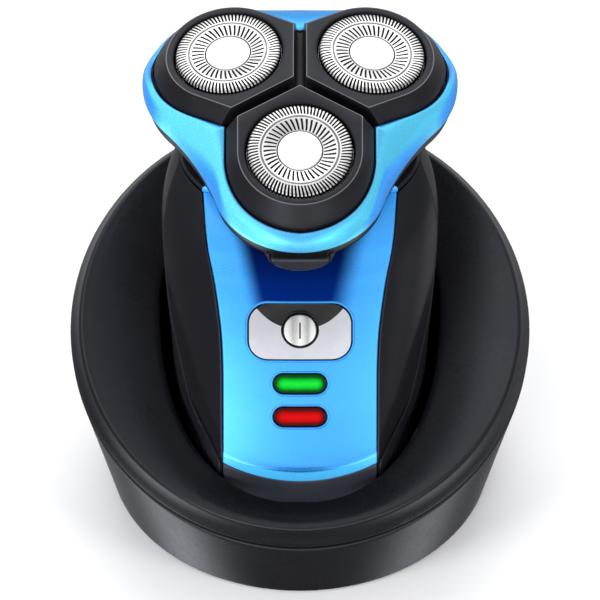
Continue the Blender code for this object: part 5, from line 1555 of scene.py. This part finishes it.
for name, az in UNIT_AZ.items():
    UF = unit_frame(az)
    # housing
    chamfer = 0.16
    rings = [
        circ(flat, HOLE_R, -UNIT_DEPTH),
        circ(flat, HOLE_R, -0.55),
        circ(flat, HOLE_R + 0.10, -0.22),
        circ(flat, HOLE_R + 0.34, -0.04),
        circ(flat, HOLE_R + 0.6, 0.0),
        [(x, -g, 0.0) for x, g in lerp2(flat, [(0, 0)] * len(flat), 0.012)],
        [(x, -g, -0.05) for x, g in lerp2(flat, bev, 0.03)],
        [(x, -g, bevel_depth(x, g) * 0.075) for x, g in lerp2(flat, bev, 0.085)],
        [(x, -g, bevel_depth(x, g) * 0.30) for x, g in lerp2(flat, bev, 0.33)],
        [(x, -g, bevel_depth(x, g) * 0.62) for x, g in lerp2(flat, bev, 0.68)],
        [(x, -g, bevel_depth(x, g) * 0.90) for x, g in lerp2(flat, bev, 0.955)],
        [(x, -g, bevel_depth(x, g) - 0.15) for x, g in bev],
        [(x, -g, -UNIT_DEPTH) for x, g in bev],
    ]
    b = Build()
    b.rings(rings[:6])
    # painted highlight: thin lighter strip at the edge of the flat face
    b.rings(rings[5:7], mat=1)
    b.rings(rings[6:] + rings[:1])
    b.make(f"cutter_housing_{name}_skin", ["unit", "line"], f"unit_{name}", UF, (f"cutter_housing_{name}",), 32)

    b = Build()
    foil_mesh(b)
    b.make(f"foil_{name}_slotted", ["foil", "slot"], f"foil_{name}", UF, (f"foil_{name}",), 30, merge=False)
    b = Build()
    n = 120
    prof = [(4.96, -0.6), (4.96, 0.02), (4.91, 0.10), (4.78, 0.14), (4.5, 0.17), (3.4, 0.22), (2.0, 0.26), (0.6, 0.275)]
    b.rings([[(r * math.cos(2 * pi * k / n), r * math.sin(2 * pi * k / n), z) for k in range(n)] for r, z in prof], cap=(True, True))
    b.make(f"foil_{name}_cap", "cap", f"foil_{name}", UF, (), 30)

    # blade wheel under the foil
    b = Build()
    nb = 15
    for k in range(nb):
        a = 2 * pi * k / nb
        for r0, r1 in ((5.9, 8.45), (9.6, 11.3)):
            rows = []
            for r in (r0, (r0 + r1) / 2, r1):
                w = 0.42 / r
                lean = 0.06
                rows.append([(r * math.cos(a - w), r * math.sin(a - w), -0.9), (r * math.cos(a + w), r * math.sin(a + w), -0.9), (r * math.cos(a + w + lean), r * math.sin(a + w + lean), -2.0), (r * math.cos(a - w + lean), r * math.sin(a - w + lean), -2.0)])
            b.rings(rows, cap=(True, True))
    n = 72
    wheel = [(11.3, -2.0), (11.3, -2.6), (5.0, -2.6), (2.6, -2.9), (2.6, -6.0), (1.95, -6.0), (1.95, -2.4), (5.0, -1.9), (8.5, -2.0)]
    b.rings([[(r * math.cos(2 * pi * k / n), r * math.sin(2 * pi * k / n), z) for k in range(n)] for r, z in wheel], loop=True)
    b.make(f"inner_cutter_{name}_wheel", "blade", f"blades_{name}", UF, (f"inner_cutter_{name}",), 35)
    # black ring close under the slots: painted shade that keeps the slots dark
    b = Build()
    bed = [(4.0, -0.42), (5.3, -0.40), (6.4, -0.40), (7.4, -0.38), (8.3, -0.38), (9.3, -0.36), (10.4, -0.38), (11.1, -0.46), (11.42, -0.62), (11.46, -1.3), (11.30, -1.3), (11.2, -0.78), (10.4, -0.62), (9.3, -0.60), (8.3, -0.62), (7.4, -0.64), (6.4, -0.66), (4.0, -0.66)]
    n = 120
    b.rings([[(r * math.cos(2 * pi * k / n), r * math.sin(2 * pi * k / n), z) for k in range(n)] for r, z in bed], loop=True)
    b.make(f"foil_{name}_bed", "slot", f"foil_{name}", UF, (), 35)

# ----------------------------------------------------------------------------- dock
N_D = 240


def angles(n):
    return [2 * pi * i / n for i in range(n)]


DA = angles(N_D)


def disc_to_world(x, p, q):
    c, s = math.cos(math.radians(DISC_TILT)), math.sin(math.radians(DISC_TILT))
    return (x, DISC_ORIGIN[1] - c * p - s * q, DISC_ORIGIN[2] - s * p + c * q)


def disc_circle(r, q):
    return [(r * math.sin(a), -r * math.cos(a), q) for a in DA]


def well(a, grow=0.0):
    s, c = math.sin(a), math.cos(a)
    n = 2.25
    reach = WELL_FRONT if c > 0 else WELL_BACK
    return (WELL_HALF + grow) * math.copysign(abs(s) ** (2 / n), s), WELL_P0 + (reach + grow) * math.copysign(abs(c) ** (2 / n), c)


# the oval is sampled evenly by direction from the disc's centre
_wt = np.array([well(a) for a in np.linspace(0, 2 * pi, 2881)])
_wa = np.unwrap(np.arctan2(_wt[:, 0], _wt[:, 1]))
_wr = np.hypot(_wt[:, 0], _wt[:, 1])


def well_r(a):
    return float(np.interp(a, _wa, _wr))


_WR = [well_r(a) for a in DA]


def well_ring(q, grow=0.0):
    return [((r + grow) * math.sin(a), -(r + grow) * math.cos(a), q) for a, r in zip(DA, _WR)]


def mixed(k, q):
    """k 0 at the rim's inner edge, 1 at the well's edge."""
    R0 = DISC_RIM_R - 1.0
    return [((R0 + (r - R0) * k) * math.sin(a), -(R0 + (r - R0) * k) * math.cos(a), q) for a, r in zip(DA, _WR)]


rings = [
    disc_circle(DISC_R - 2.2, -DISC_RIM_H),
    disc_circle(DISC_R - 1.3, -DISC_RIM_H),
    disc_circle(DISC_R - 1.3, -6.16),
    disc_circle(DISC_R - 0.30, -6.12),
    disc_circle(DISC_R - 0.12, -6.06),
    disc_circle(DISC_R - 0.05, -5.95),
    disc_circle(DISC_R - 0.14, -5.55),
    disc_circle(DISC_R - 0.75, -4.4),
    disc_circle(DISC_R - 1.3, -2.9),
    disc_circle(DISC_RIM_R + 0.60, -1.6),
    disc_circle(DISC_RIM_R + 0.46, -1.0),
    disc_circle(DISC_RIM_R + 0.36, -0.66),
    disc_circle(DISC_RIM_R + 0.26, -0.42),
    disc_circle(DISC_RIM_R + 0.11, -0.21),
    disc_circle(DISC_RIM_R - 0.08, -0.07),
    disc_circle(DISC_RIM_R - 0.34, 0.0),
    disc_circle(DISC_RIM_R - 0.60, 0.0),
    disc_circle(DISC_RIM_R - 1.0, -0.05),
    mixed(0.06, -0.10),
    mixed(0.14, -0.24),
    mixed(0.26, -0.50),
    mixed(0.40, -0.86),
    mixed(0.54, -1.28),
    mixed(0.68, -1.74),
    mixed(0.80, -2.16),
    mixed(0.90, -2.52),
    mixed(0.95, -2.72),
    well_ring(-2.92, 0.42),
    well_ring(-3.02, 0.22),
    well_ring(-3.20, 0.06),
    well_ring(-3.5, 0.0),
    well_ring(-DISH_DEPTH - 2.2, 0.16),
    well_ring(-DISH_DEPTH - 2.2, 1.8),
    mixed(0.6, -4.2),
    disc_circle(DISC_RIM_R - 1.6, -3.0),
]
b = Build()
b.rings(rings, loop=True)
b.make("dock_cover_skin", "dock", "dock", D, ("dock_top_cover",), 40)

FLOOR = 1.2
seam_q = -7.85
WALL_FOOT = 0.3


def wall(k, inset=0.0):
    """Ruled wall between the foot circle (k 0) and the slanted circle under the cover (k 1)."""
    out = []
    for a in DA:
        lo = Vector(((BASE_R - inset) * math.sin(a), -(BASE_R - inset) * math.cos(a), WALL_FOOT + 0.6))
        hi = Vector(disc_to_world((DISC_R - 0.02 - inset) * math.sin(a), (DISC_R - 0.02 - inset) * math.cos(a), seam_q))
        out.append(tuple(lo.lerp(hi, k)))
    return out


def foot_ring(r, z):
    return [(r * math.sin(a), -r * math.cos(a), z) for a in DA]


rings = [foot_ring(BASE_R - 2.0, WALL_FOOT), foot_ring(BASE_R - 0.8, WALL_FOOT), foot_ring(BASE_R - 0.35, WALL_FOOT + 0.08), foot_ring(BASE_R - 0.1, WALL_FOOT + 0.3)]
rings += [wall(k) for k in (0.0, 0.03, 0.12, 0.25, 0.4, 0.55, 0.7, 0.82, 0.92, 0.975)]
rings += [wall(0.988, 0.05), wall(0.996, 0.16), wall(1.0, 0.36), wall(1.0, 0.7), wall(1.0, 2.4), wall(0.5, 2.4), foot_ring(BASE_R - 2.4, WALL_FOOT + 0.6)]
b = Build()
b.rings(rings, loop=True)
pts = np.concatenate(b.v)
me = bpy.data.meshes.new("wall")
me.from_pydata(pts.tolist(), [], b.f)
bm = bmesh.new()
bm.from_mesh(me)
bmesh.ops.remove_doubles(bm, verts=bm.verts, dist=0.0008)
bmesh.ops.recalc_face_normals(bm, faces=bm.faces)
inlet = bmesh.new()
bmesh.ops.create_cone(inlet, cap_ends=True, segments=64, radius1=3.4, radius2=3.4, depth=14)
bmesh.ops.rotate(inlet, verts=inlet.verts, cent=(0, 0, 0), matrix=Matrix.Rotation(pi / 2, 3, "X"))
bmesh.ops.translate(inlet, vec=(0, 45.0, 10.0), verts=inlet.verts)
settle("dock_wall_skin", cooked(bm, [("BOOLEAN", {"operation": "DIFFERENCE", "solver": "EXACT", "object": inlet})], "dock"), "dock", W, ("dock_base_shell",), 40)

# black ring in the seam between cover and wall, painted shade of the gap
b = Build()
b.rings([[disc_to_world(r * math.sin(a), r * math.cos(a), q) for a in DA] for r, q in ((DISC_R - 1.30, -6.2), (DISC_R - 1.20, -6.9), (DISC_R - 0.90, -7.5), (DISC_R - 0.60, -7.75), (DISC_R - 0.56, -7.92), (DISC_R - 2.3, -7.92), (DISC_R - 2.3, -6.2))], loop=True)
b.make("dock_seam_ring", "seam", "dock", W, angle=35)

# inlet: sleeve, mouth ring and centre contact
b = Build()
cyl = lambda r, y, n=64: [(r * math.cos(2 * pi * k / n), y, 10.0 + r * math.sin(2 * pi * k / n)) for k in range(n)]
b.rings([cyl(3.3, 40.0), cyl(3.3, 43.2), cyl(3.22, 43.5), cyl(3.0, 43.55), cyl(2.86, 43.4), cyl(2.8, 43.0), cyl(2.8, 33.6), cyl(3.3, 33.6)], loop=True)
b.make("dock_inlet_sleeve", "dark", "dock", W, angle=35)
b = Build()
b.rings([cyl(0.15, 40.9, 32), cyl(0.55, 40.6, 32), cyl(0.75, 40.1, 32), cyl(0.75, 32.0, 32)], cap=(True, True))
b.make("dock_inlet_pin", "brass", "dock", W, angle=35)

# cradle cup, lofted finely with the CAD's rule
C1, S1 = math.cos(math.radians(LEAN)), math.sin(math.radians(LEAN))
DT = math.radians(DISC_TILT)
DN = -DISH_DEPTH - 2.6
_ry, _rz = SHAVER_ORIGIN[1] - DISC_ORIGIN[1], SHAVER_ORIGIN[2] - DISC_ORIGIN[2]
Q0, P0 = -math.sin(DT) * _ry + math.cos(DT) * _rz, -math.cos(DT) * _ry - math.sin(DT) * _rz
TP, TQ = math.cos(DT) * C1 - math.sin(DT) * S1, math.sin(DT) * C1 + math.cos(DT) * S1
ZP, ZQ = -(math.cos(DT) * S1 + math.sin(DT) * C1), math.cos(DT) * C1 - math.sin(DT) * S1


def to_plane(x, t, dn):
    z = (dn - Q0 - TQ * t) / ZQ
    return x, P0 + TP * t + ZP * z, z


_lines = {}


def line_at(z):
    key = round(min(max(z, 6.0), 84.0) * 2) / 2
    if key not in _lines:
        _lines[key] = outline_at(key, 8, 6, 24)
    return _lines[key]


def cup_edge(a, dn, grow=0.0):
    lo, hi = 5.0, 60.0
    for _ in range(30):
        m = (lo + hi) / 2
        x, p, z = to_plane(m * math.sin(a), m * math.cos(a), dn)
        reach = WELL_FRONT if p > WELL_P0 else WELL_BACK
        inside = (abs(x) / (WELL_HALF + 0.2 + grow)) ** 2.25 + (abs(p - WELL_P0) / (reach + 0.2 + grow)) ** 2.25 < 1
        lo, hi = (m, hi) if inside else (lo, m)
    return lo


N_C = 120
CA = angles(N_C)
edge_r = [cup_edge(a, DN) for a in CA]


def cup_ring(v, gap, bottom=3.3, extra_drop=0.0):
    out = []
    for a, er in zip(CA, edge_r):
        _, _, zt = to_plane((er + gap) * math.sin(a), (er + gap) * math.cos(a), DN)
        zt = max(zt, bottom + 3.0)
        z = bottom + (zt - bottom) * v
        near = polar(line_at(z), a) + 1.6
        tn = polar(line_at(zt), a) + 1.6
        r = near + (er - tn) * v * v + gap
        out.append((r * math.sin(a), -r * math.cos(a), z - extra_drop))
    return out


vs = (1.0, 0.9, 0.78, 0.64, 0.5, 0.36, 0.24, 0.14, 0.07, 0.03)
inner = [cup_ring(v, 0.0) for v in vs]
r0 = cup_ring(0.03, 0.0)
r1 = [(x * 0.965, y * 0.965, 3.38) for x, y, z in cup_ring(0.0, 0.0)]
r2 = [(x * 0.93, y * 0.93, 3.3) for x, y, z in cup_ring(0.0, 0.0)]
outer = [cup_ring(v, 1.4) for v in reversed(vs)]
outer[0] = [(x, y, 1.85) for x, y, z in outer[0]]
b = Build()
b.rings(inner + [r1, r2], cap=(False, True))
b.rings([inner[0]] + list(reversed(outer)), cap=(False, False))
b.rings([outer[0], [(x * 0.1, y * 0.1, 1.8) for x, y, z in outer[0]]], cap=(False, True))
pts = np.concatenate(b.v)
me = bpy.data.meshes.new("cup")
me.from_pydata(pts.tolist(), [], b.f)
bm = bmesh.new()
bm.from_mesh(me)
bmesh.ops.remove_doubles(bm, verts=bm.verts, dist=0.0008)
bmesh.ops.recalc_face_normals(bm, faces=bm.faces)
settle("dock_cup_skin", cooked(bm, [], "cup"), "dock", S, ("dock_cradle_cup",), 45)
for sx, side in ((5.0, "right"), (-5.0, "left")):
    b = Build()
    ring = lambda r, z, n=40: [(sx + r * math.cos(2 * pi * k / n), -2.0 + r * math.sin(2 * pi * k / n), z) for k in range(n)]
    b.rings([ring(2.2, 3.31), ring(2.15, 3.5), ring(1.95, 3.56), ring(1.45, 3.54), ring(1.32, 3.42), ring(1.32, 3.2), ring(2.2, 3.2)], loop=True)
    b.make(f"dock_pin_bush_{side}", "dark", "dock", S, angle=35)
    b = Build()
    b.rings([ring(0.12, 4.38), ring(0.45, 4.3), ring(0.72, 4.08), ring(0.86, 3.75), ring(0.9, 3.4), ring(0.9, 1.6), ring(1.5, 1.6), ring(1.5, 0.6)], cap=(True, True))
    b.make(f"dock_pin_{side}_bright", "brass", f"dock_pin_{side}", S, (f"dock_contact_pin_{side}",), 30)

# underside: plate with a moulded ring and vents, rubber feet, cross-recess screws
SCREW_AT = [(38.6 * math.sin(math.radians(v)), -38.6 * math.cos(math.radians(v))) for v in (60, 180 - 28, 300)]
n = 192
ring = lambda r, z: [(r * math.cos(2 * pi * k / n), r * math.sin(2 * pi * k / n), z) for k in range(n)]
b = Build()
b.rings([ring(BASE_R - 2.4, 3.3), ring(BASE_R - 2.4, 1.75), ring(BASE_R - 2.5, 1.58), ring(BASE_R - 2.7, 1.5), ring(24.6, 1.5), ring(24.3, 1.62), ring(24.0, 1.9), ring(23.4, 1.9), ring(23.1, 1.62), ring(22.8, 1.5), ring(2, 1.5)], cap=(True, True))
pts = np.concatenate(b.v)
me = bpy.data.meshes.new("plate")
me.from_pydata(pts.tolist(), [], b.f)
bm = bmesh.new()
bm.from_mesh(me)
bmesh.ops.remove_doubles(bm, verts=bm.verts, dist=0.0008)
bmesh.ops.recalc_face_normals(bm, faces=bm.faces)
cuts = [("BOOLEAN", {"operation": "DIFFERENCE", "solver": "EXACT", "object": prism_bm([(px + x, py + y) for px, py in disc_outline(1.4, n=32)], -1, 5)}) for x, y in SCREW_AT]
for k in range(-3, 4):
    cuts.append(("BOOLEAN", {"operation": "DIFFERENCE", "solver": "EXACT", "object": prism_bm([(x + 4.0 * k, y) for x, y in rounded_rect(1.4, 15.0, 0.69, 5, edge=1)], 0.0, 2.3)}))
settle("dock_plate_skin", cooked(bm, cuts, "dark"), "dock", W, ("dock_bottom_plate",), 35)
for i, v in enumerate((45, 135, 225, 315), 1):
    a = math.radians(v)
    cx, cy = 31 * math.sin(a), -31 * math.cos(a)
    b = Build()
    ringf = lambda r, z: [(cx + r * math.cos(2 * pi * k / 64), cy + r * math.sin(2 * pi * k / 64), z) for k in range(64)]
    b.rings([ringf(5.0, 1.45), ringf(5.0, 0.45), ringf(4.9, 0.2), ringf(4.6, 0.03), ringf(4.2, 0.0), ringf(3.4, 0.0), ringf(3.2, 0.12), ringf(3.0, 0.15), ringf(0.5, 0.15)], cap=(True, True))
    b.make(f"dock_foot_{i}_pad", "rubber", "dock", W, (f"dock_foot_{i}",), 35)
for i, (x, y) in enumerate(SCREW_AT, 1):
    b = Build()
    rings_ = lambda r, z: [(x + r * math.cos(2 * pi * k / 40), y + r * math.sin(2 * pi * k / 40), z) for k in range(40)]
    b.rings([rings_(0.3, 0.42), rings_(1.2, 0.44), rings_(1.8, 0.56), rings_(2.1, 0.8), rings_(2.15, 1.1), rings_(2.05, 1.3), rings_(1.0, 1.5), rings_(1.0, 9.0)], cap=(True, True))
    pts = np.concatenate(b.v)
    me = bpy.data.meshes.new("screw")
    me.from_pydata(pts.tolist(), [], b.f)
    bm = bmesh.new()
    bm.from_mesh(me)
    bmesh.ops.remove_doubles(bm, verts=bm.verts, dist=0.0008)
    bmesh.ops.recalc_face_normals(bm, faces=bm.faces)
    cross = []
    for w, h in ((2.2, 0.5), (0.5, 2.2)):
        cross.append(("BOOLEAN", {"operation": "DIFFERENCE", "solver": "EXACT", "object": prism_bm([(x - w / 2, y - h / 2), (x + w / 2, y - h / 2), (x + w / 2, y + h / 2), (x - w / 2, y + h / 2)], -1, 1.0)}))
    settle(f"dock_screw_{i}_head", cooked(bm, cross, "steel"), "dock", W, (f"dock_screw_{i}",), 35)

# ----------------------------------------------------------------------------- pieces met when the head is open
# hair chamber: ribs and posts on the gearbox cover
b = Build()
for k in range(3):
    a = pi / 3 + k * 2 * pi / 3
    dr = (math.sin(a), -math.cos(a))
    nn = (-dr[1], dr[0])
    rows = [[(dr[0] * r + nn[0] * o, dr[1] * r + nn[1] * o, z) for o, z in ((-0.5, -13.35), (-0.42, -12.85), (0.42, -12.85), (0.5, -13.35))] for r in np.linspace(4.5, 19.5, 8)]
    b.rings(rows, cap=(True, True))
for name, az in UNIT_AZ.items():
    a = math.radians(az)
    cx, cy = GEAR_RHO * math.sin(a), -GEAR_RHO * math.cos(a)
    prof = [(2.7, -13.35), (2.7, -12.75), (2.85, -12.6), (3.3, -12.6), (3.5, -12.8), (3.6, -13.35)]
    b.rings([[(cx + r * math.cos(2 * pi * k / 48), cy + r * math.sin(2 * pi * k / 48), z) for k in range(48)] for r, z in prof], loop=True)
b.make("gearbox_ribs", "grey", "handle", H, angle=35)

# ----------------------------------------------------------------------------- materials on the CAD nodes that stay
KEEP = {
    "gearbox_cover": "grey", "cutter_retainer": "dark", "retainer_knob": "grey", "inner_chassis": "grey", "motor_mount": "grey",
    "circuit_board": "board", "dock_circuit_board": "board", "battery": "cell", "motor": "steel", "drive_pinion": "brass",
    "chassis_screw_left": "steel", "chassis_screw_right": "steel", "dock_ballast": "iron", "dock_power_jack": "dark",
}
for s in UNIT_AZ:
    KEEP[f"drive_gear_{s}"] = "gear"
    KEEP[f"drive_spindle_{s}"] = "gear"
SOFTEN = {"gearbox_cover": 0.18, "cutter_retainer": 0.15, "retainer_knob": 0.2, "inner_chassis": 0.2, "circuit_board": 0.15, "dock_circuit_board": 0.15, "dock_ballast": 0.4, "motor_mount": 0.2}
for node, key in KEEP.items():
    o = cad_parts[node]
    o.data.materials.clear()
    o.data.materials.append(MAT[key])
    if node in SOFTEN:
        m = o.modifiers.new("edge", "BEVEL")
        m.width, m.segments, m.limit_method, m.angle_limit = SOFTEN[node] * MM, 2, "ANGLE", math.radians(45)
        m.harden_normals = False

# ----------------------------------------------------------------------------- stage, light, camera
floor = bpy.data.meshes.new("floor")
fb = bmesh.new()
bmesh.ops.create_circle(fb, cap_ends=True, segments=96, radius=6.0)
fb.to_mesh(floor)
fb.free()
fm = bpy.data.materials.new("pale_floor")
fm.use_nodes = True
nt = fm.node_tree
pb = nt.nodes["Principled BSDF"]
pb.inputs["Base Color"].default_value = (0.90, 0.90, 0.905, 1)
pb.inputs["Roughness"].default_value = 0.62
pb.inputs["Specular IOR Level"].default_value = 0.25
geo = nt.nodes.new("ShaderNodeNewGeometry")
clear = nt.nodes.new("ShaderNodeBsdfTransparent")
mixn = nt.nodes.new("ShaderNodeMixShader")
nt.links.new(geo.outputs["Backfacing"], mixn.inputs[0])
nt.links.new(pb.outputs[0], mixn.inputs[1])
nt.links.new(clear.outputs[0], mixn.inputs[2])
nt.links.new(mixn.outputs[0], nt.nodes["Material Output"].inputs["Surface"])
floor.materials.append(fm)
fo = bpy.data.objects.new("stage_floor", floor)
fo.location = (0, 0, -0.0002)
bpy.context.scene.collection.objects.link(fo)

FILL = 0.78
LOBES = [
    # in front: what the panel, the trim plate and the skirt mirror
    (-25, -7, 14, 3.3, (0.98, 1.0, 1.0)),
    (-30, 26, 18, 0.9, (1.0, 1.0, 1.0)),
    (26, -2, 16, 1.75, (0.98, 1.0, 1.0)),
    (34, 30, 18, 0.7, (1.0, 1.0, 1.0)),
    (0, 4, 14, 0.78, (0.99, 0.985, 1.0)),
    (0, -24, 15, 0.95, (1.0, 1.0, 1.0)),
    # round the head, low: the skirt
    (-44, -30, 11, 0.7, (1.0, 1.0, 1.0)),
    (44, -28, 11, 0.55, (1.0, 1.0, 1.0)),
    (106, -24, 15, 0.42, (1.0, 1.0, 1.0)),
    (76, -14, 11, 0.30, (1.0, 1.0, 1.0)),
    # overhead and behind: what the foils mirror
    (180, 56, 17, 1.6, (1.0, 1.0, 1.0)),
    (150, 46, 20, 0.9, (1.0, 1.0, 1.0)),
    (-150, 46, 20, 1.1, (1.0, 1.0, 1.0)),
    # low at the sides: the wall of the dock
    (-90, -60, 13, 2.5, (0.92, 0.95, 1.0)),
    (90, -60, 13, 1.6, (0.92, 0.95, 1.0)),
    (-62, 72, 16, 1.2, (1.0, 1.0, 1.0)),
    # behind the object, for the other sides
    (150, 4, 24, 0.9, (1.0, 1.0, 1.0)),
    (-150, 4, 24, 0.9, (1.0, 1.0, 1.0)),
    (-170, -40, 26, 0.25, (0.95, 0.97, 1.0)),
]
world = bpy.data.worlds.new("studio")
bpy.context.scene.world = world
world.use_nodes = True
wt = world.node_tree
bg = wt.nodes["Background"]
tc = wt.nodes.new("ShaderNodeTexCoord")


def wmath(op, a, b=0.0, c=0.0):
    n = wt.nodes.new("ShaderNodeMath")
    n.operation = op
    for k, v in enumerate((a, b, c)):
        if k == 2 and op != "MULTIPLY_ADD":
            break
        if socket(v):
            wt.links.new(v, n.inputs[k])
        else:
            n.inputs[k].default_value = v
    return n.outputs[0]


def wvec(op, a, b=None, scale=None):
    n = wt.nodes.new("ShaderNodeVectorMath")
    n.operation = op
    for k, v in enumerate((a, b)):
        if v is None:
            continue
        if socket(v):
            wt.links.new(v, n.inputs[k])
        else:
            n.inputs[k].default_value = v
    if scale is not None:
        wt.links.new(scale, n.inputs["Scale"])
    return n.outputs["Value"] if op == "DOT_PRODUCT" else n.outputs["Vector"]


DIR = tc.outputs["Generated"]
sep = wt.nodes.new("ShaderNodeSeparateXYZ")
wt.links.new(DIR, sep.inputs[0])
ramp = wt.nodes.new("ShaderNodeValToRGB")
els = ramp.color_ramp.elements
els[0].position, els[0].color = 0.0, (0.10, 0.10, 0.115, 1)
els[1].position, els[1].color = 1.0, (0.42, 0.42, 0.45, 1)
for p, v in ((0.25, 0.11), (0.45, 0.14), (0.55, 0.20), (0.75, 0.30)):
    e = els.new(p)
    e.color = (v, v, v * 1.06, 1)
wt.links.new(wmath("MULTIPLY_ADD", sep.outputs["Z"], 0.5, 0.5), ramp.inputs[0])
total = ramp.outputs[0]
# soft panels of the studio: azimuth from the front (right is positive), elevation, half width in degrees, brightness, tint
for az, elv, width, amp, tint in LOBES:
    a, e_ = math.radians(az), math.radians(elv)
    c = (math.sin(a) * math.cos(e_), -math.cos(a) * math.cos(e_), math.sin(e_))
    k = 2.0 / math.radians(width) ** 2
    g = wmath("EXPONENT", wmath("MULTIPLY_ADD", wvec("DOT_PRODUCT", DIR, c), k, -k))
    g = wmath("MULTIPLY", g, amp)
    total = wvec("ADD", total, wvec("SCALE", tint, scale=g))
glossy = wt.nodes.new("ShaderNodeBackground")
wt.links.new(total, glossy.inputs["Color"])
bg.inputs["Color"].default_value = (0.95, 0.955, 0.97, 1)
bg.inputs["Strength"].default_value = FILL
seen = wt.nodes.new("ShaderNodeBackground")
seen.inputs["Color"].default_value = (0.93, 0.93, 0.94, 1)
path = wt.nodes.new("ShaderNodeLightPath")
m1 = wt.nodes.new("ShaderNodeMixShader")
m2 = wt.nodes.new("ShaderNodeMixShader")
wt.links.new(path.outputs["Is Glossy Ray"], m1.inputs[0])
wt.links.new(bg.outputs[0], m1.inputs[1])
wt.links.new(glossy.outputs[0], m1.inputs[2])
wt.links.new(path.outputs["Is Camera Ray"], m2.inputs[0])
wt.links.new(m1.outputs[0], m2.inputs[1])
wt.links.new(seen.outputs[0], m2.inputs[2])
wt.links.new(m2.outputs[0], wt.nodes["World Output"].inputs["Surface"])
fo.visible_glossy = False


def softbox(name, at, aim, w, h, watts, tint=(1, 1, 1)):
    d = bpy.data.lights.new(name, "AREA")
    d.shape = "RECTANGLE"
    d.size, d.size_y = w, h
    d.energy = watts
    d.color = tint
    o = bpy.data.objects.new(name, d)
    o.location = at
    o.rotation_euler = (Vector(aim) - Vector(at)).to_track_quat("-Z", "Y").to_euler()
    o.visible_camera = False
    o.visible_glossy = False
    bpy.context.scene.collection.objects.link(o)
    return o


AIM = (0, 0, 0.06)
softbox("key_left", (-1.15, -0.75, 0.42), AIM, 0.55, 0.80, 17)
softbox("fill_right", (1.15, -0.70, 0.38), AIM, 0.45, 0.75, 12)
softbox("top_back", (0.0, 1.15, 1.35), AIM, 1.5, 0.8, 16)
softbox("front_low_left", (-0.50, -1.25, 0.26), AIM, 0.45, 0.45, 6.5, (0.97, 0.99, 1.0))

cam = bpy.data.cameras.new("camera")
co = bpy.data.objects.new("camera", cam)
bpy.context.scene.collection.objects.link(co)
DIST = 6.0
aim = Vector((0, -0.00103, 0.0505))
el = math.radians(45)
co.location = aim + Vector((0, -math.cos(el), math.sin(el))) * DIST
co.rotation_euler = (aim - co.location).to_track_quat("-Z", "Y").to_euler()
cam.sensor_width = 36.0
cam.lens = 36.0 * DIST / 0.13483
cam.clip_start, cam.clip_end = 0.5, 60
bpy.context.scene.camera = co

sc = bpy.context.scene
sc.view_settings.view_transform = "Standard"
sc.view_settings.look = "None"
sc.view_settings.exposure = 0.0
sc.view_settings.gamma = 1.0
